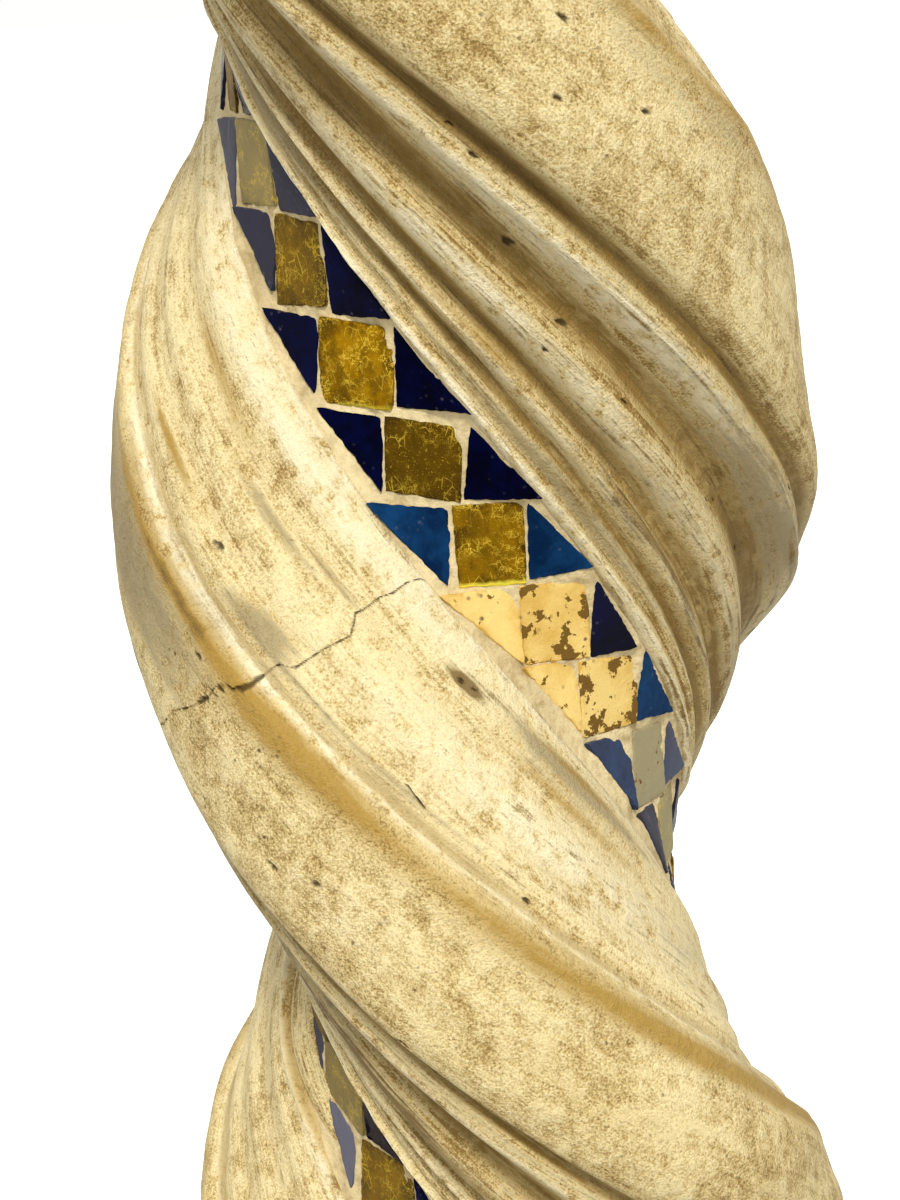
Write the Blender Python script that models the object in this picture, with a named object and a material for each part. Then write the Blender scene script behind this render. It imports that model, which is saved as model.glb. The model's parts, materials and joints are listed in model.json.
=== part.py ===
"""Barley twist column: a marble shaft of two left-handed strands with a mosaic band in each groove.

Metres, +Z up. The origin is the middle of the foot's underside.
"""
from dataclasses import dataclass
from math import atan2, ceil, cos, floor, hypot, pi, radians, sin

import bmesh
import bpy
from mathutils import Matrix, Vector

# Driving dimensions of the whole column
COLUMN_HEIGHT = 1.0
BULGE_RADIUS = 0.080
TWIST_PITCH = 0.420
MID_BAND_AZIMUTH = radians(-73.8)

# Plain round collars and the necks between them and the twist
COLLAR_RADIUS = 0.080
COLLAR_HEIGHT = 0.024
NECK_RADIUS = 0.072
NECK_STEP = 0.004
NECK_HEIGHT = 0.006
BLEND_HEIGHT = 0.050

# Mosaic bands: tile faces lie on a chord across each groove
BAND_WIDTH = 0.0354
BAND_DISTANCE = 0.0449
RECESS_DEPTH = 0.0090
RECESS_END_SLOPE = 0.001
BED_MARGIN = 0.004
BED_STRIPES = 3
CLEARANCE = 0.0003

# Tesserae, in level rows of left triangle, square and right triangle
ROW_PITCH = 0.0198
TILE_HEIGHT = 0.0176
SQUARE_WIDTH = 0.0145
TILE_JOINT = 0.0017
TILE_THICKNESS = 0.0035
TILE_PROUD = 0.0010
BAND_BORDER = 0.0016
MID_ROW_LIFT = 0.0118

# Rows are counted up and down from the one nearest the middle of the height, which has this number
MID_ROW_NUMBER = 21
SEPARATE_ROWS = {"a": (-6, 6), "b": (-10, -5)}
WORN_ROWS = {"a": (-2, -1), "b": ()}
BRIGHT_ROWS = {"a": (0,), "b": (-8,)}

COLLECTION_NAME = "barley_twist_column"
CUTTER_COLLECTION_NAME = "column_cutters"

COLOURS = {
    "cream_marble": ((0.72, 0.62, 0.43), 0.55, 0.0),
    "lime_mortar": ((0.74, 0.68, 0.54), 0.85, 0.0),
    "gold_glass": ((0.42, 0.29, 0.06), 0.28, 0.35),
    "deep_blue_glass": ((0.010, 0.018, 0.085), 0.15, 0.0),
    "bright_blue_glass": ((0.015, 0.080, 0.270), 0.18, 0.0),
    "worn_tile": ((0.70, 0.58, 0.36), 0.50, 0.0),
}


@dataclass(frozen=True)
class Moulding:
    """One line of the carved section: its share of the flank's angle and of the rise to the bulge."""
    name: str
    along: float
    rise: float


RIGHT_FLANK = (
    Moulding("lip", 0.057, 0.073),
    Moulding("fine hollow", 0.133, 0.028),
    Moulding("bead", 0.219, 0.186),
    Moulding("narrow hollow", 0.314, 0.172),
    Moulding("broad ridge, near side", 0.419, 0.356),
    Moulding("broad ridge, far side", 0.495, 0.400),
    Moulding("wide hollow", 0.648, 0.450),
    Moulding("shoulder ridge", 0.800, 0.760),
    Moulding("deep hollow", 0.905, 0.765),
)
STRAND_BODY = (
    Moulding("shoulder", 0.0, 0.937),
    Moulding("crest", 0.274, 1.0),
    Moulding("crest, far side", 0.512, 0.985),
    Moulding("back", 0.750, 0.943),
    Moulding("arris", 1.0, 0.880),
)
LEFT_FLANK = (
    Moulding("step below the arris", 0.918, 0.745),
    Moulding("upper ridge", 0.776, 0.668),
    Moulding("upper hollow", 0.694, 0.535),
    Moulding("broad ridge", 0.541, 0.460),
    Moulding("middle hollow", 0.400, 0.270),
    Moulding("lower ridge", 0.165, 0.194),
    Moulding("lip hollow", 0.047, 0.041),
)
SHOULDER_ANGLE = radians(74.0)
ARRIS_ANGLE = radians(116.0)

GROOVES = {"a": 0.0, "b": pi}


def clear_scene():
    """Removes the objects that a new file starts with."""
    for old in list(bpy.data.objects):
        bpy.data.objects.remove(old, do_unlink=True)


def collection(name):
    """Returns a new collection, linked to the scene."""
    made = bpy.data.collections.new(name)
    bpy.context.scene.collection.children.link(made)
    return made


def material(name):
    """Returns the Principled material of one of the COLOURS."""
    if name in bpy.data.materials:
        return bpy.data.materials[name]
    colour, roughness, metallic = COLOURS[name]
    made = bpy.data.materials.new(name)
    made.use_nodes = True
    shader = made.node_tree.nodes["Principled BSDF"]
    shader.inputs["Base Color"].default_value = (*colour, 1.0)
    shader.inputs["Roughness"].default_value = roughness
    shader.inputs["Metallic"].default_value = metallic
    return made


def new_object(name, mesh, finish, home, sharp_angle=35.0):
    """Links a mesh as a smooth-shaded object with one material."""
    mesh.materials.clear()
    mesh.materials.append(material(finish))
    mesh.shade_smooth()
    mesh.set_sharp_from_angle(angle=radians(sharp_angle))
    made = bpy.data.objects.new(name, mesh)
    home.objects.link(made)
    return made


def band_azimuth(groove, height):
    """Azimuth of a band's middle at a height: it falls as the left-handed twist climbs."""
    turns = (height - COLUMN_HEIGHT / 2) / TWIST_PITCH
    return MID_BAND_AZIMUTH + GROOVES[groove] - 2 * pi * turns


def edge_angle():
    """Half the angle that a band takes up in the section."""
    return atan2(BAND_WIDTH / 2, BAND_DISTANCE)


def edge_radius():
    """Distance of a band's edge from the column's axis."""
    return hypot(BAND_WIDTH / 2, BAND_DISTANCE)


def moulding_radius(moulding):
    """Radius of a moulding, between the band's edge and the bulge."""
    return edge_radius() + moulding.rise * (BULGE_RADIUS - edge_radius())


def half_section(recessed):
    """One strand and one groove as (angle, radius) from the middle of the groove, going round."""
    half_width = BAND_WIDTH / 2
    floor_distance = BAND_DISTANCE - RECESS_DEPTH
    if recessed:
        floor_angle = atan2(half_width, floor_distance)
        floor_radius = hypot(half_width, floor_distance)
    else:
        floor_angle = edge_angle() / 3
        floor_radius = BAND_DISTANCE / cos(floor_angle)
    points = [(-floor_angle, floor_radius), (floor_angle, floor_radius), (edge_angle(), edge_radius())]
    for line in RIGHT_FLANK:
        angle = edge_angle() + line.along * (SHOULDER_ANGLE - edge_angle())
        points.append((angle, moulding_radius(line)))
    for line in STRAND_BODY:
        angle = SHOULDER_ANGLE + line.along * (ARRIS_ANGLE - SHOULDER_ANGLE)
        points.append((angle, moulding_radius(line)))
    left_span = pi - ARRIS_ANGLE - edge_angle()
    for line in LEFT_FLANK:
        angle = pi - edge_angle() - line.along * left_span
        points.append((angle, moulding_radius(line)))
    points.append((pi - edge_angle(), edge_radius()))
    return points


def full_section(recessed):
    """The whole section as (angle, radius): two equal halves."""
    half = half_section(recessed)
    return half + [(angle + pi, radius) for angle, radius in half]


def smooth_step(share):
    """Eases from 0 to 1."""
    share = min(max(share, 0.0), 1.0)
    return share * share * (3 - 2 * share)


def neck_top():
    """Height where the round neck starts to turn into the twist."""
    return COLLAR_HEIGHT + NECK_STEP + NECK_HEIGHT


def twist_low():
    """Height where the full twisted section starts."""
    return neck_top() + BLEND_HEIGHT


def recess_low():
    """Height where a band's recess starts, just above the blend."""
    return twist_low() + RECESS_END_SLOPE


def even_heights(low, high):
    """Heights from low to high in equal steps of at most one row, both ends included."""
    steps = max(1, ceil((high - low) / ROW_PITCH - 1e-6))
    return [low + (high - low) * step / steps for step in range(steps + 1)]


def row_counts():
    """Count of the lowest and of the highest row that fit in the recess, from the middle row."""
    room = COLUMN_HEIGHT / 2 - recess_low() - BED_MARGIN - ROW_PITCH / 2
    return -floor((room + MID_ROW_LIFT) / ROW_PITCH), floor((room - MID_ROW_LIFT) / ROW_PITCH)


def row_height(count):
    """Height of a row's middle."""
    return COLUMN_HEIGHT / 2 + MID_ROW_LIFT + count * ROW_PITCH


def run_heights():
    """Ring heights along the recess: its two ends and the joints between the rows."""
    lowest, highest = row_counts()
    joints = [row_height(count) - ROW_PITCH / 2 for count in range(lowest, highest + 2)]
    return [recess_low()] + joints + [COLUMN_HEIGHT - recess_low()]


def ring(height, section, round_share=0.0, round_radius=0.0):
    """Points of one ring: the section turned by the twist, eased towards a circle."""
    turn = band_azimuth("a", height)
    points = []
    for angle, radius in section:
        mixed = radius + round_share * (round_radius - radius)
        points.append((mixed * cos(angle + turn), mixed * sin(angle + turn), height))
    return points


def end_levels():
    """Levels of one end, from its flat face to the full twist: height, share of a circle, circle's radius."""
    levels = [
        (0.0, 1.0, COLLAR_RADIUS),
        (COLLAR_HEIGHT, 1.0, COLLAR_RADIUS),
        (COLLAR_HEIGHT + NECK_STEP, 1.0, NECK_RADIUS),
    ]
    for height in even_heights(neck_top(), twist_low()):
        twisted = smooth_step((height - neck_top()) / BLEND_HEIGHT)
        levels.append((height, 1.0 - twisted, NECK_RADIUS))
    return levels


def loft(name, rings):
    """Mesh through rings of equal point counts, going round counterclockwise and upwards, with flat ends."""
    shape = bmesh.new()
    rows = [[shape.verts.new(point) for point in points] for points in rings]
    count = len(rows[0])
    for below, above in zip(rows, rows[1:]):
        for first in range(count):
            second = (first + 1) % count
            shape.faces.new((below[first], below[second], above[second]))
            shape.faces.new((below[first], above[second], above[first]))
    ends = [shape.faces.new(list(reversed(rows[0]))), shape.faces.new(rows[-1])]
    bmesh.ops.triangulate(shape, faces=ends)
    mesh = bpy.data.meshes.new(name)
    shape.to_mesh(mesh)
    shape.free()
    return mesh


def build_shaft(home):
    """The marble shaft with both collars and both recesses."""
    plain = full_section(False)
    foot = [ring(height, plain, share, radius) for height, share, radius in end_levels()]
    run = [ring(height, full_section(True)) for height in run_heights()]
    head = [ring(COLUMN_HEIGHT - height, plain, share, radius)
            for height, share, radius in reversed(end_levels())]
    return new_object("shaft", loft("shaft", foot + run + head), "cream_marble", home)


def band_point(groove, height, offset, distance):
    """A point of a twisted band: offset runs along its chord, distance is out from the axis."""
    turn = band_azimuth(groove, height)
    outward = Vector((cos(turn), sin(turn), 0.0))
    along = Vector((-sin(turn), cos(turn), 0.0))
    return outward * distance + along * offset + Vector((0.0, 0.0, height))


def bed_top():
    """Distance of the mortar's face from the axis."""
    return BAND_DISTANCE - TILE_PROUD


def bed_ring(shape, groove, height, stripes):
    """Corners of a bed's section: the two floor corners and its face from left to right."""
    half_width = BAND_WIDTH / 2 - CLEARANCE
    floor_distance = BAND_DISTANCE - RECESS_DEPTH + CLEARANCE
    face = [-half_width + 2 * half_width * part / stripes for part in range(stripes + 1)]
    return {
        "floor": [shape.verts.new(band_point(groove, height, x, floor_distance)) for x in (face[0], face[-1])],
        "face": [shape.verts.new(band_point(groove, height, x, bed_top())) for x in face],
    }


def add_split_quad(shape, first, second, third, fourth):
    """Two triangles that part a quad from its first corner to its third, as the recess's walls do."""
    shape.faces.new((first, second, third))
    shape.faces.new((first, third, fourth))


def add_fused_row(shape, groove, count, below, above):
    """A row's three tiles fused in one block that stands out of the mortar and follows the twist."""
    half_height = TILE_HEIGHT / 2
    half_width = BAND_WIDTH / 2 - BAND_BORDER
    middle = row_height(count)
    base = []
    top = []
    for offset, lift in ((-half_width, -half_height), (half_width, -half_height),
                         (half_width, half_height), (-half_width, half_height)):
        base.append(shape.verts.new(band_point(groove, middle + lift, offset, bed_top())))
        top.append(shape.verts.new(band_point(groove, middle + lift, offset, BAND_DISTANCE)))
    crown = shape.verts.new(band_point(groove, middle, 0.0, BAND_DISTANCE))
    for first in range(4):
        second = (first + 1) % 4
        shape.faces.new((base[first], base[second], top[second], top[first]))
        shape.faces.new((top[first], top[second], crown))
    shape.faces.new(below["face"] + [base[1], base[0]])
    shape.faces.new((below["face"][-1], above["face"][-1], base[2], base[1]))
    shape.faces.new(list(reversed(above["face"])) + [base[3], base[2]])
    shape.faces.new((above["face"][0], below["face"][0], base[0], base[3]))


def bed_mesh(groove):
    """Mesh of the mortar in one recess, with the fused rows on it and plain faces for the other rows."""
    shape = bmesh.new()
    heights = run_heights()
    heights[0] += CLEARANCE
    heights[-1] -= CLEARANCE
    lowest, highest = row_counts()
    fused = [lowest <= count <= highest and not is_separate(groove, count)
             for count in range(lowest - 1, highest + 2)]
    rings = []
    for index, height in enumerate(heights):
        beside = fused[max(index - 1, 0):index + 1]
        rings.append(bed_ring(shape, groove, height, 1 if all(beside) else BED_STRIPES))
    for index, (below, above) in enumerate(zip(rings, rings[1:])):
        add_split_quad(shape, below["floor"][0], below["floor"][1], above["floor"][1], above["floor"][0])
        add_split_quad(shape, below["floor"][1], below["face"][-1], above["face"][-1], above["floor"][1])
        add_split_quad(shape, below["face"][0], below["floor"][0], above["floor"][0], above["face"][0])
        if fused[index]:
            add_fused_row(shape, groove, lowest - 1 + index, below, above)
            continue
        for left in range(BED_STRIPES):
            add_split_quad(shape, below["face"][left], below["face"][left + 1],
                           above["face"][left + 1], above["face"][left])
    for end in (rings[0], rings[-1]):
        shape.faces.new(end["floor"] + list(reversed(end["face"])))
    bmesh.ops.recalc_face_normals(shape, faces=shape.faces)
    mesh = bpy.data.meshes.new("mortar_bed_" + groove)
    shape.to_mesh(mesh)
    shape.free()
    return mesh


def shear():
    """How far a band moves sideways for each unit of height."""
    return 2 * pi * BAND_DISTANCE / TWIST_PITCH


def tile_outlines():
    """Outlines of a row's three tiles in the row's upright plane: x along the band, y up."""
    half_height = TILE_HEIGHT / 2
    half_square = SQUARE_WIDTH / 2
    inner = half_square + TILE_JOINT
    outer = BAND_WIDTH / 2 - BAND_BORDER + shear() * half_height
    left = [(-outer, half_height), (-inner, -half_height), (-inner, half_height)]
    square = [
        (-half_square, -half_height),
        (half_square, -half_height),
        (half_square, half_height),
        (-half_square, half_height),
    ]
    right = [(-x, -y) for x, y in left]
    return {"left": left, "square": square, "right": right}


def middle_of(outline):
    """Mean of an outline's corners."""
    count = len(outline)
    return sum(x for x, _ in outline) / count, sum(y for _, y in outline) / count


def tile_frame(groove, count, across, up):
    """Placement of a tile: x level along the band, y up its face, z out of the stone."""
    height = row_height(count) + up
    turned = band_azimuth(groove, height) - band_azimuth(groove, row_height(count))
    offset = (across - BAND_DISTANCE * sin(turned)) / cos(turned)
    place = band_point(groove, height, offset, BAND_DISTANCE)
    azimuth = band_azimuth(groove, height)
    level = Vector((-sin(azimuth), cos(azimuth), 0.0))
    facing = Vector((cos(azimuth), sin(azimuth), -2 * pi / TWIST_PITCH * offset)).normalized()
    rising = facing.cross(level)
    frame = Matrix((level, rising, facing)).transposed().to_4x4()
    frame.translation = place
    return frame


def widened(outline, amount):
    """An outline going counterclockwise, with each side moved out by an amount."""
    lines = []
    count = len(outline)
    for index in range(count):
        start = Vector(outline[index])
        end = Vector(outline[(index + 1) % count])
        way = (end - start).normalized()
        normal = Vector((way.y, -way.x))
        lines.append((start + normal * amount, way))
    corners = []
    for index in range(count):
        point, way = lines[index - 1]
        other_point, other_way = lines[index]
        cross = way.x * other_way.y - way.y * other_way.x
        gap = other_point - point
        share = (gap.x * other_way.y - gap.y * other_way.x) / cross
        corner = point + way * share
        corners.append((corner.x, corner.y))
    return corners


def prism(name, outline, low, high):
    """Mesh of a flat outline raised along z from low to high."""
    shape = bmesh.new()
    base = shape.faces.new([shape.verts.new((x, y, low)) for x, y in outline])
    raised = bmesh.ops.extrude_face_region(shape, geom=[base])
    top = [item for item in raised["geom"] if isinstance(item, bmesh.types.BMVert)]
    bmesh.ops.translate(shape, verts=top, vec=(0.0, 0.0, high - low))
    bmesh.ops.recalc_face_normals(shape, faces=shape.faces)
    mesh = bpy.data.meshes.new(name)
    shape.to_mesh(mesh)
    shape.free()
    return mesh


def is_separate(groove, count):
    """Whether a row's tiles are solids of their own."""
    first, last = SEPARATE_ROWS[groove]
    return first <= count <= last


def tile_finish(groove, count, place):
    """Material of a tile by its row and its place in the row."""
    if count in WORN_ROWS[groove] and place != "right":
        return "worn_tile"
    if place == "square":
        return "gold_glass"
    if count in BRIGHT_ROWS[groove]:
        return "bright_blue_glass"
    return "deep_blue_glass"


def build_tile(groove, count, place, outline, home):
    """One separate tile: its face lies on the band, its body goes into the mortar."""
    across, up = middle_of(outline)
    centred = [(x - across, y - up) for x, y in outline]
    name = "tile_%s_row%02d_%s" % (groove, MID_ROW_NUMBER + count, place)
    made = new_object(name, prism(name, centred, -TILE_THICKNESS, 0.0), tile_finish(groove, count, place), home)
    made.matrix_world = tile_frame(groove, count, across, up)
    return made


def seat_mesh(groove, count, outline):
    """Cutter for a tile's seat in the mortar: the tile's outline and back with the clearance around."""
    across, up = middle_of(outline)
    centred = widened([(x - across, y - up) for x, y in outline], CLEARANCE)
    mesh = prism("seat", centred, -TILE_THICKNESS - CLEARANCE, TILE_THICKNESS)
    mesh.transform(tile_frame(groove, count, across, up))
    return mesh


def joined(name, meshes, home):
    """One helper object that holds several meshes, hidden from renders."""
    shape = bmesh.new()
    for mesh in meshes:
        shape.from_mesh(mesh)
        bpy.data.meshes.remove(mesh)
    whole = bpy.data.meshes.new(name)
    shape.to_mesh(whole)
    shape.free()
    made = bpy.data.objects.new(name, whole)
    home.objects.link(made)
    made.hide_render = True
    made.display_type = "WIRE"
    return made


def build_band(groove, home, cutters):
    """A mortar bed, and its separate tiles let into it."""
    bed = new_object("mortar_bed_" + groove, bed_mesh(groove), "lime_mortar", home)
    seats = []
    lowest, highest = row_counts()
    for count in range(lowest, highest + 1):
        if not is_separate(groove, count):
            continue
        for place, outline in tile_outlines().items():
            build_tile(groove, count, place, outline, home)
            seats.append(seat_mesh(groove, count, outline))
    if seats:
        cut = bed.modifiers.new("tile_seats", "BOOLEAN")
        cut.operation = "DIFFERENCE"
        cut.solver = "EXACT"
        cut.object = joined("tile_seats_" + groove, seats, cutters)


def main():
    """Builds the column."""
    clear_scene()
    home = collection(COLLECTION_NAME)
    cutters = collection(CUTTER_COLLECTION_NAME)
    build_shaft(home)
    for groove in GROOVES:
        build_band(groove, home, cutters)


main()
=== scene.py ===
"""Scene of the barley twist column: carved marble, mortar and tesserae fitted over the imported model.

Metres, +Z up. The column's axis is the Z axis and its foot stands on z = 0. Angles of the carving are
measured from the middle of mosaic band A in the straight column, which is then twisted.
"""
from __future__ import annotations

import json
import logging
from dataclasses import dataclass, field
from enum import Enum
from math import atan2, cos, hypot, pi, radians, sin

import bmesh
import bpy
import numpy as np
from mathutils import Matrix, Vector

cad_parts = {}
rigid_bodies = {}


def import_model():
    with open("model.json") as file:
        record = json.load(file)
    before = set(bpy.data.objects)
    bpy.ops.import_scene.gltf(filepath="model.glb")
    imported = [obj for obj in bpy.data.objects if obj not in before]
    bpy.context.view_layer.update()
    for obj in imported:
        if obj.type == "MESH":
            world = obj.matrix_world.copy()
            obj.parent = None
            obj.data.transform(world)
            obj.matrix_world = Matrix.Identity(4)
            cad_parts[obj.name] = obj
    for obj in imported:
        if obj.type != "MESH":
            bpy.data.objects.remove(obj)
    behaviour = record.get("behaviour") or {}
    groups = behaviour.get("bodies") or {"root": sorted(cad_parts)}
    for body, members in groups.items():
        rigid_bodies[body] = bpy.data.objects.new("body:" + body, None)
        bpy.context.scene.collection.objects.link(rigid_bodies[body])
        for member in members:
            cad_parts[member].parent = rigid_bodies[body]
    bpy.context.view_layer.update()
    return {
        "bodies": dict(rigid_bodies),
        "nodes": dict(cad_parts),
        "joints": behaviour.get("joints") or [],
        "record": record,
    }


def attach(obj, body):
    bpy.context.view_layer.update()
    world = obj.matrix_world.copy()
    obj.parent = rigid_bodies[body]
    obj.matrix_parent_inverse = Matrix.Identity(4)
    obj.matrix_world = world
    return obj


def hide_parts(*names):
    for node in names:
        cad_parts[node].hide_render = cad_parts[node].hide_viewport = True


Colour = tuple[float, float, float]
Outline = tuple[tuple[float, float], ...]

LOG = logging.getLogger("column")
BODY = "root"
MM = 0.001


class Slot(Enum):
    """Material slots of the part's record."""

    MARBLE = "marble"
    MORTAR = "mortar"
    GOLD = "gold_glass"
    DEEP_BLUE = "deep_blue_glass"
    BRIGHT_BLUE = "bright_blue_glass"
    WORN = "worn_tile"


class Groove(Enum):
    """The two grooves, by the angle of their band's middle."""

    A = 0.0
    B = pi

    @property
    def key(self) -> str:
        """The letter that the model's nodes use."""
        return self.name.lower()


class Place(Enum):
    """A tile's place in its row."""

    LEFT = "left"
    SQUARE = "square"
    RIGHT = "right"


class Mark(Enum):
    """Kinds of weathering, painted shade and painted highlight that the marble's finish reads as attributes.
    """

    HOLLOW = "hollow"
    OCHRE = "ochre"
    DIRT = "dirt"
    GREY = "grey"
    PALE = "pale"
    FOLDS = "folds"
    SPECKS = "specks"
    CRACK = "crack"


def eased(share: np.ndarray) -> np.ndarray:
    """Eases shares from 0 to 1."""
    held = np.clip(share, 0.0, 1.0)
    return held * held * (3.0 - 2.0 * held)


def bell(values: np.ndarray, middle: float, width: float) -> np.ndarray:
    """Shares that are 1 at a middle and fall off smoothly over a width."""
    return np.exp(-(((values - middle) / width) ** 2))


def rising(values: np.ndarray, start: float, end: float) -> np.ndarray:
    """Eases from 0 at one value to 1 at another, which may be the smaller one."""
    return eased((values - start) / (end - start))


def place_mesh(name: str, mesh: bpy.types.Mesh) -> bpy.types.Object:
    """Makes an object of a mesh and puts it in the scene.

    Args:
        name: The object's name.
        mesh: The mesh.

    Returns:
        The object.
    """
    made = bpy.data.objects.new(name, mesh)
    bpy.context.scene.collection.objects.link(made)
    return made


@dataclass(frozen=True)
class Unevenness:
    """A smooth random field over the column's angle and height, the same on each run."""

    seed: int
    across: int
    upward: int
    amount: float = 1.0

    def at(self, angle: np.ndarray, height: np.ndarray) -> np.ndarray:
        """Samples the field.

        Args:
            angle: Angles in radians; the field repeats after a full turn.
            height: Heights in metres, from 0 to 1.

        Returns:
            Values between the amount and its negative.
        """
        grid = np.random.default_rng(self.seed).uniform(-1.0, 1.0, (self.across, self.upward + 1))
        round_share = (angle / (2 * pi)) % 1.0 * self.across
        rise_share = np.clip(height, 0.0, 1.0) * self.upward
        column = np.floor(round_share).astype(int) % self.across
        row = np.minimum(np.floor(rise_share).astype(int), self.upward - 1)
        over = eased(round_share - np.floor(round_share))
        rise = eased(rise_share - row)
        beside = (column + 1) % self.across
        low = grid[column, row] * (1 - over) + grid[beside, row] * over
        high = grid[column, row + 1] * (1 - over) + grid[beside, row + 1] * over
        return (low * (1 - rise) + high * rise) * self.amount

    def above(self, limit: float, angle: np.ndarray, height: np.ndarray) -> np.ndarray:
        """Samples only what rises over a share of the amount.

        Args:
            limit: The share, from 0 to 1.
            angle: Angles in radians.
            height: Heights in metres.

        Returns:
            Values between 0 and the amount.
        """
        return np.clip(self.at(angle, height) - limit * self.amount, 0.0, self.amount)


class Graph:
    """A node tree while it is being wired."""

    def __init__(self, tree: bpy.types.NodeTree) -> None:
        """Starts from a tree."""
        self.tree = tree

    def node(self, kind: str, **settings: object) -> bpy.types.Node:
        """Adds a node.

        Args:
            kind: The node's type name.
            **settings: Properties of the node to set.

        Returns:
            The new node.
        """
        made = self.tree.nodes.new(kind)
        for name, value in settings.items():
            setattr(made, name, value)
        return made

    def put(self, node: bpy.types.Node, name: str, value: object) -> None:
        """Links an output to a node's input, or sets the input's own value.

        Args:
            node: The node.
            name: Identifier or name of its input.
            value: An output socket, or a plain value.
        """
        found = next((s for s in node.inputs if s.identifier == name), None) or node.inputs[name]
        if isinstance(value, bpy.types.NodeSocket):
            self.tree.links.new(value, found)
        else:
            found.default_value = value

    def math(self, operation: str, first: object, second: object = 0.0, third: object = 0.0,
             held: bool = False) -> bpy.types.NodeSocket:
        """Adds a math node.

        Args:
            operation: Name of the operation.
            first: First term, an output or a number.
            second: Second term.
            third: Third term, for the operations that have one.
            held: Whether the result is held between 0 and 1.

        Returns:
            The node's output.
        """
        made = self.node("ShaderNodeMath", operation=operation, use_clamp=held)
        for socket, value in zip(made.inputs, (first, second, third)):
            if isinstance(value, bpy.types.NodeSocket):
                self.tree.links.new(value, socket)
            else:
                socket.default_value = value
        return made.outputs[0]

    def times(self, first: object, second: object) -> bpy.types.NodeSocket:
        """Multiplies two values."""
        return self.math("MULTIPLY", first, second)

    def mix(self, share: object, first: object, second: object) -> bpy.types.NodeSocket:
        """Mixes two colours.

        Args:
            share: Share of the second colour.
            first: First colour, an output or three numbers.
            second: Second colour.

        Returns:
            The mixed colour.
        """
        made = self.node("ShaderNodeMix", data_type="RGBA")
        self.put(made, "Factor_Float", share)
        for name, value in (("A_Color", first), ("B_Color", second)):
            self.put(made, name, value if isinstance(value, bpy.types.NodeSocket) else (*value, 1.0))
        return next(s for s in made.outputs if s.identifier == "Result_Color")

    def noise(self, vector: object, scale: float, detail: float = 4.0,
              roughness: float = 0.55) -> bpy.types.NodeSocket:
        """Adds a noise texture.

        Args:
            vector: Coordinates.
            scale: Scale of the noise.
            detail: Number of finer layers.
            roughness: Strength of the finer layers.

        Returns:
            The noise's value.
        """
        made = self.node("ShaderNodeTexNoise")
        self.put(made, "Vector", vector)
        self.put(made, "Scale", scale)
        self.put(made, "Detail", detail)
        self.put(made, "Roughness", roughness)
        return made.outputs[0]

    def ramp(self, value: object, *stops: tuple[float, Colour]) -> bpy.types.NodeSocket:
        """Adds a colour ramp.

        Args:
            value: Where on the ramp to read.
            *stops: Places and colours of its stops.

        Returns:
            The colour.
        """
        made = self.node("ShaderNodeValToRGB")
        steps = made.color_ramp.elements
        for _ in stops[2:]:
            steps.new(1.0)
        for step, (place, colour) in zip(steps, stops):
            step.position = place
            step.color = (*colour, 1.0)
        self.put(made, "Fac", value)
        return made.outputs[0]

    def total(self, *terms: tuple[object, float]) -> bpy.types.NodeSocket:
        """Adds up outputs, each with its weight.

        Args:
            *terms: Outputs with their weights.

        Returns:
            The total.
        """
        whole = self.math("MULTIPLY", *terms[0])
        for value, weight in terms[1:]:
            whole = self.math("MULTIPLY_ADD", value, weight, whole)
        return whole

    def stretch(self, value: object, low: float, high: float) -> bpy.types.NodeSocket:
        """Maps a value's range to 0..1 and holds it there.

        Args:
            value: The value.
            low: What becomes 0.
            high: What becomes 1.

        Returns:
            The mapped value.
        """
        made = self.node("ShaderNodeMapRange", clamp=True)
        self.put(made, "Value", value)
        self.put(made, "From Min", low)
        self.put(made, "From Max", high)
        return made.outputs[0]

    def scaled(self, vector: object, scale: tuple[float, float, float]) -> bpy.types.NodeSocket:
        """Scales coordinates.

        Args:
            vector: The coordinates.
            scale: Factor of each axis.

        Returns:
            The scaled coordinates.
        """
        made = self.node("ShaderNodeMapping")
        self.put(made, "Vector", vector)
        self.put(made, "Scale", scale)
        return made.outputs[0]

    def attribute(self, name: str) -> bpy.types.NodeSocket:
        """Reads a float attribute of the mesh."""
        return self.node("ShaderNodeAttribute", attribute_name=name).outputs["Fac"]

    def group(self, tree: bpy.types.NodeTree, **inputs: object) -> bpy.types.Node:
        """Places a node group.

        Args:
            tree: The group.
            **inputs: Its inputs, with underscores for the blanks in their names.

        Returns:
            The group's node.
        """
        made = self.node("ShaderNodeGroup", node_tree=tree)
        for name, value in inputs.items():
            self.put(made, name.replace("_", " "), value)
        return made


def start_tree(kind: str, name: str, inputs: dict[str, str],
               outputs: dict[str, str]) -> tuple[Graph, bpy.types.Node]:
    """Makes an empty node group.

    Args:
        kind: Shader or Geometry.
        name: The group's name.
        inputs: Kinds of value by input name.
        outputs: Kinds of value by output name.

    Returns:
        The group's graph and its input node.
    """
    tree = bpy.data.node_groups.new(name, kind + "NodeTree")
    for way, sockets in (("INPUT", inputs), ("OUTPUT", outputs)):
        for title, value in sockets.items():
            tree.interface.new_socket(title, in_out=way, socket_type="NodeSocket" + value)
    graph = Graph(tree)
    return graph, graph.node("NodeGroupInput")


def start_geometry(name: str, inputs: dict[str, str]) -> tuple[Graph, bpy.types.Node]:
    """Makes an empty geometry tree that takes the twist and a finish, besides its own inputs.

    Args:
        name: The tree's name.
        inputs: Kinds of value by the names of its own inputs.

    Returns:
        The tree's graph and its input node.
    """
    twist = {"Pitch": "Float", "Mid height": "Float", "Mid azimuth": "Float", "Finish": "Material"}
    return start_tree("Geometry", name, {"Geometry": "Geometry", **inputs, **twist}, {"Geometry": "Geometry"})


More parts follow.
